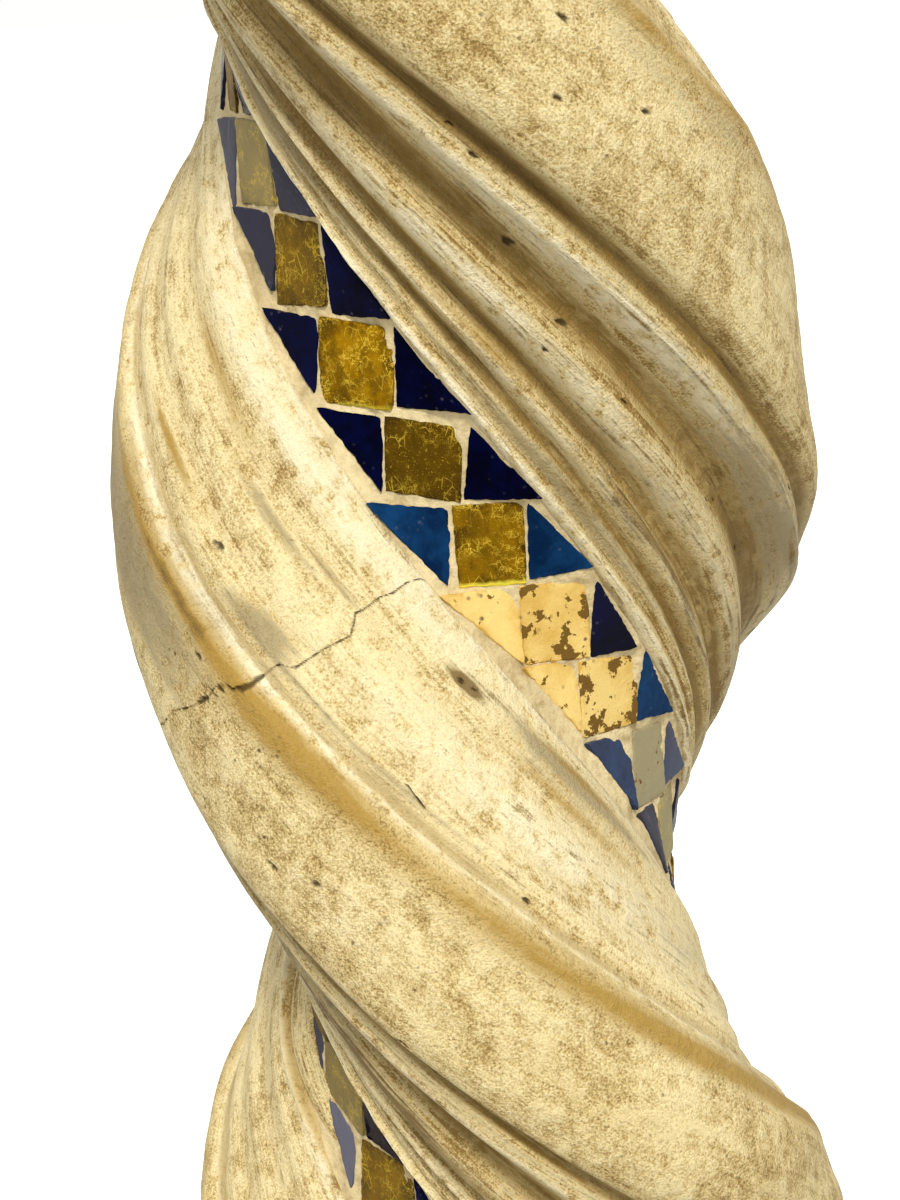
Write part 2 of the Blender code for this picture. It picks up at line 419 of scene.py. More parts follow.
def end_geometry(graph: Graph, geometry: bpy.types.NodeSocket, entry: bpy.types.Node) -> None:
    """Ends a geometry tree: real instances, the finish, and the way out.

    Args:
        graph: The tree's graph.
        geometry: What it has made.
        entry: Its input node.
    """
    whole = graph.node("GeometryNodeRealizeInstances")
    graph.put(whole, "Geometry", geometry)
    painted = graph.node("GeometryNodeSetMaterial")
    graph.put(painted, "Geometry", whole.outputs[0])
    graph.put(painted, "Material", entry.outputs["Finish"])
    graph.put(graph.node("NodeGroupOutput"), "Geometry", painted.outputs[0])


class Effects:
    """Surface effects that several finishes share, as node groups built once."""

    def __init__(self) -> None:
        """Builds the groups."""
        self.streaks = self._streaks()
        self.grain = self._grain()
        self.clouds = self._clouds()

    @staticmethod
    def _streaks() -> bpy.types.NodeTree:
        """Fine marks left along the strands by the carver's tools.

        Returns:
            The group.
        """
        graph, entry = start_tree("Shader", "tool streaks", {"Flow": "Vector"}, {"Fac": "Float"})
        flow = entry.outputs["Flow"]
        fine = graph.noise(graph.scaled(flow, (900.0, 55.0, 1.0)), 1.0, 3.0, 0.6)
        broad = graph.noise(graph.scaled(flow, (260.0, 14.0, 1.0)), 1.0, 3.0, 0.5)
        graph.put(graph.node("NodeGroupOutput"), "Fac", graph.total((fine, 0.55), (broad, 0.45)))
        return graph.tree

    @staticmethod
    def _grain() -> bpy.types.NodeTree:
        """Crystalline grain with small dark specks and open pores.

        Returns:
            The group.
        """
        taken, given = {"Vector": "Vector", "Size": "Float"}, {"Fac": "Float", "Specks": "Float"}
        graph, entry = start_tree("Shader", "stone grain", taken, given)
        made = graph.node("ShaderNodeTexNoise")
        graph.put(made, "Vector", entry.outputs["Vector"])
        graph.put(made, "Scale", entry.outputs["Size"])
        graph.put(made, "Detail", 3.0)
        graph.put(made, "Roughness", 0.7)
        cells = graph.node("ShaderNodeTexVoronoi", feature="F1")
        graph.put(cells, "Vector", entry.outputs["Vector"])
        graph.put(cells, "Scale", graph.math("MULTIPLY", entry.outputs["Size"], 0.25))
        patches = graph.noise(entry.outputs["Vector"], 120.0, 3.0, 0.6)
        near = graph.stretch(cells.outputs["Distance"], 0.28, 0.12)
        some = graph.stretch(patches, 0.52, 0.66)
        leave = graph.node("NodeGroupOutput")
        graph.put(leave, "Fac", made.outputs[0])
        graph.put(leave, "Specks", graph.math("MULTIPLY", near, some))
        return graph.tree

    @staticmethod
    def _clouds() -> bpy.types.NodeTree:
        """Broad, middling and fine clouds of colour in old stone.

        Returns:
            The group.
        """
        layers = {"Broad": "Float", "Middling": "Float", "Fine": "Float"}
        graph, entry = start_tree("Shader", "stone clouds", {"Vector": "Vector"}, layers)
        vector = graph.scaled(entry.outputs["Vector"], (1.0, 1.0, 0.85))
        leave = graph.node("NodeGroupOutput")
        graph.put(leave, "Broad", graph.noise(vector, 16.0, 4.0, 0.55))
        graph.put(leave, "Middling", graph.noise(vector, 62.0, 5.0, 0.62))
        graph.put(leave, "Fine", graph.noise(vector, 250.0, 4.0, 0.65))
        return graph.tree


def new_material(name: str) -> tuple[bpy.types.Material, Graph, bpy.types.Node]:
    """Starts a material.

    Args:
        name: The material's name.

    Returns:
        The material, its graph and its Principled shader.
    """
    made = bpy.data.materials.new(name)
    made.use_nodes = True
    return made, Graph(made.node_tree), made.node_tree.nodes["Principled BSDF"]


class Surface(Graph):
    """A material while it is being made, with its grain and clouds in place."""

    def __init__(self, name: str, effects: Effects, grain_size: float) -> None:
        """Starts the material.

        Args:
            name: The material's name.
            effects: The shared effects.
            grain_size: Scale of its grain.
        """
        self.material, graph, self.shader = new_material(name)
        super().__init__(graph.tree)
        self.places = self.node("ShaderNodeTexCoord").outputs["Object"]
        stone = self.group(effects.grain, Vector=self.places, Size=grain_size).outputs
        self.crystals, self.specks = stone["Fac"], stone["Specks"]
        mist = self.group(effects.clouds, Vector=self.places).outputs
        self.broad, self.middling, self.fine = mist["Broad"], mist["Middling"], mist["Fine"]

    def dress(self, colour: object, rough: object, gloss: float) -> None:
        """Sets the look of the face.

        Args:
            colour: Its colour.
            rough: Its roughness.
            gloss: Strength of its reflections.
        """
        self.put(self.shader, "Base Color", colour)
        self.put(self.shader, "Roughness", rough)
        self.put(self.shader, "Specular IOR Level", gloss)

    def emboss(self, height: object, strength: float, distance: float) -> bpy.types.Material:
        """Gives the face its relief, which ends the material.

        Args:
            height: The height's output.
            strength: Strength of the bump.
            distance: Depth that a height of 1 stands for.

        Returns:
            The material.
        """
        bump = self.node("ShaderNodeBump")
        self.put(bump, "Strength", strength)
        self.put(bump, "Distance", distance)
        self.put(bump, "Height", height)
        self.put(self.shader, "Normal", bump.outputs[0])
        return self.material


@dataclass(frozen=True)
class MarbleFinish:
    """Cream marble, yellowed and mottled, with ochre on the arrises, greyish stains, grime and painted shade
    in the hollows, pale lips, painted highlights on ridges and arris, and tool marks.
    """

    brown: Colour = (0.28, 0.166, 0.036)
    tan: Colour = (0.49, 0.342, 0.118)
    cream: Colour = (0.70, 0.535, 0.236)
    pale: Colour = (0.92, 0.775, 0.420)
    tone_stops: tuple[float, float, float, float] = (0.660, 0.742, 0.812, 0.922)
    # Bright colour of the pale lips and of the painted highlights on ridges and arris.
    lip: Colour = (0.95, 0.850, 0.580)
    # Greyish brown of the stains and of the painted shade.
    grey: Colour = (0.34, 0.265, 0.135)
    # Colour of the hollows: grime together with painted shade.
    hollow: Colour = (0.28, 0.170, 0.034)
    ochre: Colour = (0.42, 0.248, 0.034)
    # Dark colour of grime and painted shade in the deepest hollows.
    dirt: Colour = (0.18, 0.104, 0.020)
    most_grey: float = 0.80
    most_stain: float = 0.90
    veil: tuple[float, float] = (0.28, 0.80)
    speck: Colour = (0.12, 0.075, 0.028)
    specks_everywhere: float = 0.16
    crack: Colour = (0.050, 0.026, 0.005)
    rough: float = 0.50
    crack_rough: float = 0.50
    gloss: float = 0.30
    grain_size: float = 1900.0
    relief: float = 0.001

    def build(self, effects: Effects) -> bpy.types.Material:
        """Builds the material.

        Args:
            effects: The shared effects.

        Returns:
            The material.
        """
        made = Surface("aged marble", effects, self.grain_size)
        flow = made.node("ShaderNodeUVMap", uv_map="flow").outputs[0]
        lines = made.group(effects.streaks, Flow=flow).outputs["Fac"]
        # Pale stone and painted highlights: this mark lifts the tone a little and brings in the bright colour
        # below.
        light = made.attribute(Mark.PALE.value)
        combed = made.times(made.math("SUBTRACT", lines, 0.5), made.attribute(Mark.FOLDS.value))
        tone = made.total((made.broad, 0.26), (made.middling, 0.30), (made.fine, 0.42), (made.crystals, 0.66),
                          (combed, 1.25), (light, 0.07))
        colour = made.ramp(tone, *zip(self.tone_stops, (self.brown, self.tan, self.cream, self.pale)))
        # Painted highlight: where the pale mark is strong (pale lips, and painted highlights on ridges and
        # arris), the colour turns towards the bright lip colour.
        edge = made.times(made.stretch(light, 0.25, 1.0), made.stretch(made.fine, 0.36, 0.54))
        colour = made.mix(edge, colour, self.lip)
        ragged = made.total((made.middling, 0.8), (made.fine, 0.9), (made.crystals, 0.7), (lines, 0.4),
                            (combed, 3.0))
        rubbed = made.stretch(made.total((made.fine, 1.0), (combed, 2.2)), 0.44, 0.66)
        # Three of these masks carry painted shade besides their stains; the ochre mask is a stain only.
        masks = (
            (Mark.GREY, self.most_grey, self.grey),
            (Mark.HOLLOW, self.most_stain, made.mix(rubbed, self.hollow, self.tan)),
            (Mark.OCHRE, self.most_stain, self.ochre),
            (Mark.DIRT, self.most_stain, self.dirt),
        )
        for mark, most, shade in masks:
            reach = made.math("MULTIPLY_ADD", made.attribute(mark.value), 1.15, ragged)
            veil = made.stretch(made.math("SUBTRACT", reach, 1.4), *self.veil)
            colour = made.mix(made.times(veil, most), colour, shade)
        often = made.math("ADD", made.attribute(Mark.SPECKS.value), self.specks_everywhere)
        dots = made.math("MULTIPLY", made.specks, often, held=True)
        colour = made.mix(dots, colour, self.speck)
        crack = made.attribute(Mark.CRACK.value)
        colour = made.mix(crack, colour, self.crack)
        made.dress(colour, made.math("MULTIPLY_ADD", crack, self.crack_rough, self.rough), self.gloss)
        height = made.total((combed, 0.90), (made.crystals, 0.60), (made.fine, 1.40), (made.middling, 1.00),
                            (dots, -0.30))
        return made.emboss(height, 1.0, self.relief)


@dataclass(frozen=True)
class MortarFinish:
    """Old lime mortar: pale, gritty, dirty in places."""

    lime: Colour = (0.76, 0.625, 0.350)
    grit: Colour = (0.40, 0.295, 0.135)
    edge_dirt: Colour = (0.30, 0.200, 0.070)
    rough: float = 0.85
    gloss: float = 0.2
    grain_size: float = 1100.0
    relief: float = 0.0006

    def build(self, effects: Effects) -> bpy.types.Material:
        """Builds the material.

        Args:
            effects: The shared effects.

        Returns:
            The material.
        """
        made = Surface("lime mortar", effects, self.grain_size)
        stains = made.times(made.stretch(made.middling, 0.52, 0.74), 0.45)
        colour = made.mix(stains, self.lime, self.grit)
        colour = made.mix(made.times(made.stretch(made.fine, 0.50, 0.36), 0.40), colour, self.grit)
        dirty = made.total((made.broad, 0.5), (made.fine, 0.5))
        colour = made.mix(made.times(made.stretch(dirty, 0.50, 0.60), 0.6), colour, self.edge_dirt)
        made.dress(colour, self.rough, self.gloss)
        return made.emboss(made.math("ADD", made.crystals, made.times(made.middling, 1.5)), 0.8, self.relief)


@dataclass(frozen=True)
class GoldFinish:
    """Gold leaf under clear glass: crinkled, browned, with bright flecks and scratches that are partly painted
    glints.
    """

    brown: Colour = (0.080, 0.042, 0.001)
    gold: Colour = (0.440, 0.225, 0.001)
    # Bright gold of the flecks and scratches, partly painted glints of the leaf.
    fleck_and_glint: Colour = (0.90, 0.64, 0.06)
    # Colour of the painted highlight along a tile's lower edge.
    glint: Colour = (1.00, 0.86, 0.08)
    stain: Colour = (0.050, 0.024, 0.002)
    dust: Colour = (0.42, 0.36, 0.17)
    metallic: float = 0.30
    rough: float = 0.42
    gloss: float = 0.04
    coat: float = 0.03
    coat_rough: float = 0.10
    grain_size: float = 2600.0
    crinkle_size: float = 340.0
    scratch_size: float = 480.0
    scratch_width: tuple[float, float] = (0.042, 0.010)
    relief: float = 0.0003

    def _flecks(self, made: Surface, crinkle: bpy.types.NodeSocket) -> bpy.types.NodeSocket:
        """Adds the bright lines and points in the leaf, partly painted glints.

        Args:
            made: The material.
            crinkle: Crinkles of the leaf.

        Returns:
            The flecks' share.
        """
        fold = made.math("ABSOLUTE", made.math("SUBTRACT", crinkle, 0.5))
        some = made.stretch(made.noise(made.places, 130.0, 3.0, 0.6), 0.46, 0.64)
        bright = made.math("ADD", made.attribute("tone"), 0.45)
        leaf = made.math("MULTIPLY", made.times(made.stretch(fold, 0.016, 0.004), some), bright, held=True)
        grains = made.times(made.stretch(made.crystals, 0.62, 0.72), 0.7)
        cells = made.node("ShaderNodeTexVoronoi", feature="DISTANCE_TO_EDGE")
        made.put(cells, "Vector", made.scaled(made.places, (1.0, 1.0, 0.6)))
        made.put(cells, "Scale", self.scratch_size)
        broken = made.stretch(made.noise(made.places, 260.0, 3.0, 0.6), 0.50, 0.58)
        scratches = made.times(made.stretch(cells.outputs["Distance"], *self.scratch_width), broken)
        return made.math("MAXIMUM", made.math("MAXIMUM", leaf, grains), made.times(scratches, 0.45))

    def build(self, effects: Effects) -> bpy.types.Material:
        """Builds the material.

        Args:
            effects: The shared effects.

        Returns:
            The material.
        """
        made = Surface("gold glass", effects, self.grain_size)
        crinkle = made.noise(made.places, self.crinkle_size, 5.0, 0.70)
        colour = made.mix(made.attribute("tone"), self.brown, self.gold)
        patches = made.total((made.middling, 0.5), (made.fine, 0.5))
        colour = made.mix(made.times(made.stretch(patches, 0.47, 0.60), 0.65), colour, self.brown)
        rim = made.times(made.attribute("rim"), made.stretch(made.fine, 0.40, 0.60))
        colour = made.mix(rim, colour, self.stain)
        colour = made.mix(made.times(made.stretch(crinkle, 0.60, 0.74), 0.8), colour, self.stain)
        colour = made.mix(made.attribute("dust"), colour, self.dust)
        colour = made.mix(self._flecks(made, crinkle), colour, self.fleck_and_glint)
        # Painted highlight: where the edge mark is set along a tile's lower edge, the colour turns a bright
        # gold.
        colour = made.mix(made.attribute("edge"), colour, self.glint)
        made.dress(colour, self.rough, self.gloss)
        made.put(made.shader, "Metallic", self.metallic)
        made.put(made.shader, "Coat Weight", self.coat)
        made.put(made.shader, "Coat Roughness", self.coat_rough)
        return made.emboss(made.math("ADD", crinkle, made.crystals), 0.7, self.relief)


@dataclass(frozen=True)
class BlueFinish:
    """Opaque blue glass with a hard gloss, bubbles and a dusty bloom."""

    name: str
    blue: Colour
    deep: Colour
    bloom: Colour = (0.14, 0.135, 0.165)
    rough: float = 0.14
    gloss: float = 0.03
    grain_size: float = 2200.0
    relief: float = 0.0003

    def build(self, effects: Effects) -> bpy.types.Material:
        """Builds the material.

        Args:
            effects: The shared effects.

        Returns:
            The material.
        """
        made = Surface(self.name, effects, self.grain_size)
        patches = made.total((made.middling, 0.6), (made.fine, 0.4))
        colour = made.mix(made.stretch(patches, 0.42, 0.60), self.deep, self.blue)
        colour = made.mix(made.attribute("tone"), colour, self.bloom)
        colour = made.mix(made.times(made.specks, 0.35), colour, self.bloom)
        # Painted highlight: where the edge mark is set along the lower edge, the colour turns towards the
        # bloom.
        colour = made.mix(made.times(made.attribute("edge"), 0.55), colour, self.bloom)
        made.dress(colour, self.rough, self.gloss)
        return made.emboss(made.noise(made.places, 260.0, 3.0, 0.5), 0.25, self.relief)


@dataclass(frozen=True)
class WornFinish:
    """Tiles that have lost their glass: cream ground with brown blotches."""

    cream: Colour = (0.80, 0.58, 0.19)
    yellow: Colour = (0.60, 0.36, 0.060)
    blotch: Colour = (0.155, 0.078, 0.004)
    dust: Colour = (0.27, 0.25, 0.155)
    dark: Colour = (0.09, 0.05, 0.02)
    rough: float = 0.6
    gloss: float = 0.3
    grain_size: float = 1600.0
    relief: float = 0.0004

    def build(self, effects: Effects) -> bpy.types.Material:
        """Builds the material.

        Args:
            effects: The shared effects.

        Returns:
            The material.
        """
        made = Surface("worn tile", effects, self.grain_size)
        blots = made.noise(made.places, 230.0, 4.0, 0.62)
        colour = made.mix(made.times(made.stretch(made.middling, 0.46, 0.66), 0.8), self.cream, self.yellow)
        rim = made.times(made.attribute("rim"), made.stretch(made.fine, 0.44, 0.62))
        colour = made.mix(rim, colour, self.yellow)
        colour = made.mix(made.attribute("dust"), colour, self.dust)
        reach = made.math("MULTIPLY_ADD", made.attribute("tone"), 0.13, blots)
        colour = made.mix(made.stretch(reach, 0.655, 0.670), colour, self.blotch)
        colour = made.mix(made.specks, colour, self.dark)
        made.dress(colour, self.rough, self.gloss)
        return made.emboss(made.math("ADD", blots, made.crystals), 0.5, self.relief)


@dataclass
class Finishes:
    """All finishes, built once and looked up by material slot."""

    made: dict[Slot, bpy.types.Material] = field(default_factory=dict)

    def build(self) -> None:
        """Builds the materials."""
        effects = Effects()
        finishes = {
            Slot.MARBLE: MarbleFinish(),
            Slot.MORTAR: MortarFinish(),
            Slot.GOLD: GoldFinish(),
            Slot.DEEP_BLUE: BlueFinish("deep blue glass", (0.0002, 0.0014, 0.028), (0.0001, 0.0003, 0.0060)),
            Slot.BRIGHT_BLUE: BlueFinish("bright blue glass", (0.0045, 0.040, 0.120), (0.0012, 0.013, 0.048)),
            Slot.WORN: WornFinish(),
        }
        for slot, finish in finishes.items():
            self.made[slot] = finish.build(effects)


def set_attribute(mesh: bpy.types.Mesh, name: str, values: np.ndarray) -> None:
    """Stores one float for each vertex.

    Args:
        mesh: The mesh.
        name: The attribute's name.
        values: The values.
    """
    layer = mesh.attributes.new(name, "FLOAT", "POINT")
    layer.data.foreach_set("value", np.asarray(values, dtype=np.float32))


def set_flow(mesh: bpy.types.Mesh, flow: np.ndarray) -> None:
    """Stores the way along the carving as the UV map.

    Args:
        mesh: The mesh.
        flow: Two coordinates for each vertex.
    """
    corners = np.empty(len(mesh.loops), dtype=np.int32)
    mesh.loops.foreach_get("vertex_index", corners)
    mesh.uv_layers.new(name="flow").data.foreach_set("uv", flow[corners].astype(np.float32).ravel())


def settle(made: bpy.types.Object, slot: Slot, *nodes: str) -> bpy.types.Object:
    """Hands a finished piece to the frame.

    Args:
        made: The piece.
        slot: Its material slot; not used.
        *nodes: Nodes of the model that it stands for.

    Returns:
        The piece.
    """
    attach(made, BODY)
    if nodes:
        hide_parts(*nodes)
    LOG.info("%s: %d faces", made.name, len(made.data.polygons))
    return made


@dataclass(frozen=True)
class Twist:
    """The left-handed twist of the whole column."""

    pitch: float = 0.420
    mid_height: float = 0.5
    mid_azimuth: float = radians(-73.8)

    def azimuth(self, groove: Groove, height: float) -> float:
        """Azimuth of a band's middle at a height."""
        return self.mid_azimuth + groove.value - 2 * pi * (height - self.mid_height) / self.pitch

    def slope(self) -> float:
        """Turn for each metre of height."""
        return -2 * pi / self.pitch

    def inputs(self, groove: Groove) -> dict[str, object]:
        """The twist as a geometry tree's inputs.

        Args:
            groove: The groove that the piece lies along.

        Returns:
            Values by the names of the inputs.
        """
        return {
            "Pitch": self.pitch,
            "Mid height": self.mid_height,
            "Mid azimuth": self.mid_azimuth + groove.value,
        }

    @staticmethod
    def turned(graph: Graph, position: bpy.types.NodeSocket, entry: bpy.types.Node) -> bpy.types.NodeSocket:
        """Adds the nodes that work out the twist at a position.

        Args:
            graph: The tree.
            position: The position in the straight column.
            entry: The tree's input node.

        Returns:
            The angle of the twist.
        """
        parts = graph.node("ShaderNodeSeparateXYZ")
        graph.put(parts, "Vector", position)
        rise = graph.math("SUBTRACT", parts.outputs["Z"], entry.outputs["Mid height"])
        turns = graph.math("DIVIDE", rise, entry.outputs["Pitch"])
        return graph.math("SUBTRACT", entry.outputs["Mid azimuth"], graph.math("MULTIPLY", turns, 2 * pi))

    def tree(self) -> bpy.types.GeometryNodeTree:
        """Makes the tree that twists a straight piece about the column's axis.

        Returns:
            The tree.
        """
        graph, entry = start_geometry("twist", {})
        position = graph.node("GeometryNodeInputPosition").outputs[0]
        angle = self.turned(graph, position, entry)
        turn = graph.node("ShaderNodeVectorRotate", rotation_type="Z_AXIS")
        graph.put(turn, "Vector", position)
        graph.put(turn, "Angle", angle)
        move = graph.node("GeometryNodeSetPosition")
        graph.put(move, "Geometry", entry.outputs["Geometry"])
        graph.put(move, "Position", turn.outputs[0])
        end_geometry(graph, move.outputs[0], entry)
        return graph.tree


def grow(made: bpy.types.Object, tree: bpy.types.GeometryNodeTree, inputs: dict[str, object]) -> None:
    """Runs a geometry tree on an object and keeps the result as its mesh.

    Args:
        made: The object, which gets the new mesh.
        tree: The tree.
        inputs: Values by the names of the tree's inputs.
    """
    modifier = made.modifiers.new(tree.name, "NODES")
    modifier.node_group = tree
    for item in tree.interface.items_tree:
        if item.item_type == "SOCKET" and item.in_out == "INPUT" and item.name in inputs:
            modifier[item.identifier] = inputs[item.name]
    made.update_tag()
    bpy.context.view_layer.update()
    depsgraph = bpy.context.evaluated_depsgraph_get()
    fresh = bpy.data.meshes.new_from_object(made.evaluated_get(depsgraph), depsgraph=depsgraph)
    made.modifiers.remove(modifier)
    old = made.data
    made.data = fresh
    fresh.name = made.name
    bpy.data.meshes.remove(old)


@dataclass(frozen=True)
class Section:
    """The carved cross-section of one groove and one strand, which the other pair repeats."""

    half_band: float = 0.0177
    band_distance: float = 0.0449
    wall_share: float = radians(0.55)
    lines: tuple[tuple[float, float], ...] = (
        (23.5, 50.8), (26.5, 50.2), (29.5, 51.8), (32.8, 50.7), (36.2, 55.4), (38.8, 54.9), (42.2, 54.5),
        (46.0, 60.6), (50.5, 62.6), (55.0, 61.6), (58.8, 61.4), (62.0, 66.5), (66.0, 73.0), (69.5, 72.9),
        (72.6, 72.0), (75.8, 77.9), (85.5, 80.0), (95.5, 79.5), (105.5, 78.2), (113.0, 77.2), (115.4, 76.5),
        (116.6, 75.6), (119.0, 71.6), (125.5, 68.9), (129.0, 65.4), (135.5, 62.5), (141.5, 57.5),
        (151.5, 53.6), (156.5, 49.7),
    )

    @property
    def edge(self) -> float:
        """Half the angle that a band takes up."""
        return atan2(self.half_band, self.band_distance)

    @property
    def edge_radius(self) -> float:
        """Distance of a band's edge from the axis."""
        return hypot(self.half_band, self.band_distance)

    def _knots(self) -> tuple[np.ndarray, np.ndarray, np.ndarray]:
        """Works out the section's curve.

        Returns:
            Angles, radii and slopes of its knots, from one band's edge to the next.
        """
        angle = np.array([self.edge, *(radians(a) for a, _ in self.lines), pi - self.edge])
        radius = np.array([self.edge_radius, *(r * MM for _, r in self.lines), self.edge_radius])
        step = np.diff(angle)
        rise = np.diff(radius) / step
        slope = np.zeros_like(radius)
        same = rise[:-1] * rise[1:] > 0
        first = 2 * step[1:] + step[:-1]
        second = step[1:] + 2 * step[:-1]
        below = np.where(same, rise[:-1], 1.0)
        above = np.where(same, rise[1:], 1.0)
        slope[1:-1] = np.where(same, (first + second) / (first / below + second / above), 0.0)
        slope[0], slope[-1] = rise[0], rise[-1]
        return angle, radius, slope

    def flank(self, angle: np.ndarray) -> np.ndarray:
        """Radius of the carving between the bands.

        Args:
            angle: Angles from a band's middle, from one band's edge to the next.

        Returns:
            Radii.
        """
        knots, radius, slope = self._knots()
        held = np.clip(angle, knots[0], knots[-1])
        index = np.clip(np.searchsorted(knots, held, side="right") - 1, 0, len(knots) - 2)
        step = knots[index + 1] - knots[index]
        t = (held - knots[index]) / step
        return (
            (1 + 2 * t) * (1 - t) ** 2 * radius[index]
            + t * (1 - t) ** 2 * step * slope[index]
            + t * t * (3 - 2 * t) * radius[index + 1]
            + t * t * (t - 1) * step * slope[index + 1]
        )

    def radius(self, angle: np.ndarray, recess: np.ndarray) -> np.ndarray:
        """Radius of the whole section.

        Args:
            angle: Angles from band A's middle.
            recess: Depth of the recess for the mortar at each point.

        Returns:
            Radii.
        """
        turned = (angle + self.edge) % pi - self.edge
        inside = np.minimum(np.abs(turned), self.edge)
        chord = self.band_distance - recess
        bottom = chord / np.cos(np.minimum(inside, self.edge - self.wall_share))
        wall = np.clip((inside - (self.edge - self.wall_share)) / self.wall_share, 0.0, 1.0)
        lip = self.band_distance / np.cos(inside)
        groove = bottom + (lip - bottom) * wall
        return np.where(turned < self.edge, groove, self.flank(turned))

    def hollows(self, angle: np.ndarray, reach: float) -> np.ndarray:
        """How deep a point lies below the carving around it.

        Args:
            angle: Angles from band A's middle.
            reach: Angle over which the surroundings count.

        Returns:
            Depths in metres; ridges are negative.
        """
        count = 1440
        samples = np.arange(count) * pi / count
        radius = self.radius(samples, np.zeros(count))
        away = np.minimum(samples, pi - samples)
        weight = np.exp(-0.5 * (away / reach) ** 2)
        around = np.real(np.fft.ifft(np.fft.fft(radius) * np.fft.fft(weight / weight.sum())))
        return np.interp(angle % pi, samples, around - radius, period=pi)


@dataclass(frozen=True)
class Patch:
    """A soft-edged place on the shaft: angle and height, half sizes, and how much of its effect it gives."""

    angle: float
    height: float
    half_angle: float
    half_height: float
    amount: float

    def at(self, angle: np.ndarray, height: np.ndarray) -> np.ndarray:
        """Effect of the patch at points."""
        away = (angle - radians(self.angle) + pi) % (2 * pi) - pi
        square = (away / radians(self.half_angle)) ** 2 + ((height - self.height) / self.half_height) ** 2
        return self.amount * np.exp(-square)


@dataclass(frozen=True)
class Pit:
    """A small hole or chip in the marble: angle, height, radius and depth."""

    angle: float
    height: float
    radius: float
    depth: float


@dataclass(frozen=True)
class Line:
    """Weathering, painted shade and painted highlight along the carving: angle and width of its line in
    degrees, even share and patchy share.
    """

    mark: Mark
    angle: float
    width: float
    even: float
    patchy: float = 0.0

    def at(self, turned: np.ndarray, patches: np.ndarray) -> np.ndarray:
        """Share of weathering, painted shade and painted highlight at points.

        Args:
            turned: Angles from a band's middle, folded to half a turn.
            patches: Strength of the patches there.

        Returns:
            Shares, mostly below 1.
        """
        return bell(turned, radians(self.angle), radians(self.width)) * (self.even + self.patchy * patches)


LINES = (
    Line(Mark.OCHRE, 114.2, 3.2, 0.20, 0.52),
    # Grime with painted shade along the deepest hollow of the flank.
    Line(Mark.DIRT, 72.6, 1.8, 0.128, 0.192),
    Line(Mark.SPECKS, 100.0, 14.0, 0.0, 1.0),
    # Painted highlight along the arris.
    Line(Mark.PALE, 118.2, 0.9, 0.45),
)
STAINS: dict[Mark, tuple[Patch, ...]] = {
    # Grime with painted shade: dark patches in the hollows of both flanks, beside the band and in the far
    # strand's hollows, and a dark patch round two pits.
    Mark.DIRT: (
        Patch(72.8, 0.585, 1.9, 0.050, 0.50), Patch(58.8, 0.550, 1.2, 0.016, 0.65),
        Patch(58.5, 0.500, 2.6, 0.022, 0.55), Patch(57.0, 0.602, 4.4, 0.030, 0.60),
        Patch(42.4, 0.548, 1.2, 0.028, 0.70), Patch(39.8, 0.602, 3.4, 0.024, 0.65),
        Patch(33.0, 0.558, 1.8, 0.013, 0.55), Patch(38.0, 0.512, 2.2, 0.024, 0.65),
        Patch(34.0, 0.476, 4.6, 0.026, 0.45), Patch(-64.9, 0.505, 1.2, 0.016, 0.65),
        Patch(-34.8, 0.556, 1.6, 0.012, 0.40), Patch(-38.2, 0.510, 1.4, 0.009, 0.55),
        Patch(-20.6, 0.460, 1.9, 0.020, 0.60), Patch(-134.0, 0.394, 5.0, 0.032, 0.90),
        Patch(-30.7, 0.4852, 1.7, 0.0036, 1.3),
    ),
    Mark.OCHRE: (
        Patch(38.0, 0.556, 2.6, 0.015, 0.45), Patch(52.0, 0.590, 6.0, 0.040, 0.30),
        Patch(-65.0, 0.503, 1.3, 0.022, 0.60), Patch(-84.0, 0.530, 18.0, 0.036, 0.22),
        Patch(-68.0, 0.440, 5.0, 0.026, 0.26), Patch(-68.0, 0.478, 6.0, 0.016, 0.34),
        Patch(-53.0, 0.535, 0.9, 0.010, 0.85), Patch(-35.2, 0.454, 2.0, 0.023, 0.62),
        Patch(-26.6, 0.460, 1.3, 0.015, 0.50), Patch(-36.0, 0.550, 2.8, 0.016, 0.60),
        Patch(-67.5, 0.405, 3.4, 0.022, 0.42), Patch(-90.0, 0.400, 12.0, 0.030, 0.16),
    ),
    # Greyish stains, with painted shadow lines beside the arris and beside the band.
    Mark.GREY: (
        Patch(-84.0, 0.520, 16.0, 0.030, 0.60), Patch(-55.0, 0.500, 2.6, 0.006, 0.80),
        Patch(-57.0, 0.475, 1.0, 0.024, 0.55), Patch(-41.2, 0.520, 0.9, 0.014, 0.85),
        Patch(-28.0, 0.460, 2.4, 0.020, 0.80), Patch(-45.0, 0.420, 6.0, 0.022, 0.40),
        Patch(-122.0, 0.440, 9.0, 0.040, 0.55), Patch(-60.0, 0.470, 1.6, 0.024, 0.45),
        Patch(112.0, 0.600, 7.0, 0.024, 0.40), Patch(28.0, 0.520, 3.4, 0.022, 0.50),
        Patch(62.0, 0.520, 5.0, 0.020, 0.45), Patch(30.0, 0.605, 5.0, 0.022, 0.50),
    ),
    Mark.SPECKS: (
        Patch(-46.0, 0.510, 5.0, 0.008, 0.90), Patch(-77.0, 0.478, 9.0, 0.022, 0.80),
        Patch(-95.0, 0.440, 14.0, 0.040, 0.60), Patch(92.0, 0.600, 18.0, 0.050, 0.30),
    ),
    # Pale patches of stone, some of them painted highlights on ridges and by the arris.
    Mark.PALE: (
        Patch(-27.0, 0.530, 3.2, 0.050, 0.70), Patch(-46.0, 0.450, 7.0, 0.040, 0.50),
        Patch(23.6, 0.558, 1.7, 0.024, 1.00), Patch(48.5, 0.570, 2.2, 0.034, 0.60),
        Patch(66.0, 0.560, 1.8, 0.050, 0.50), Patch(-62.2, 0.505, 0.9, 0.034, 0.80),
        Patch(-86.0, 0.446, 14.0, 0.022, 0.35),
    ),
}


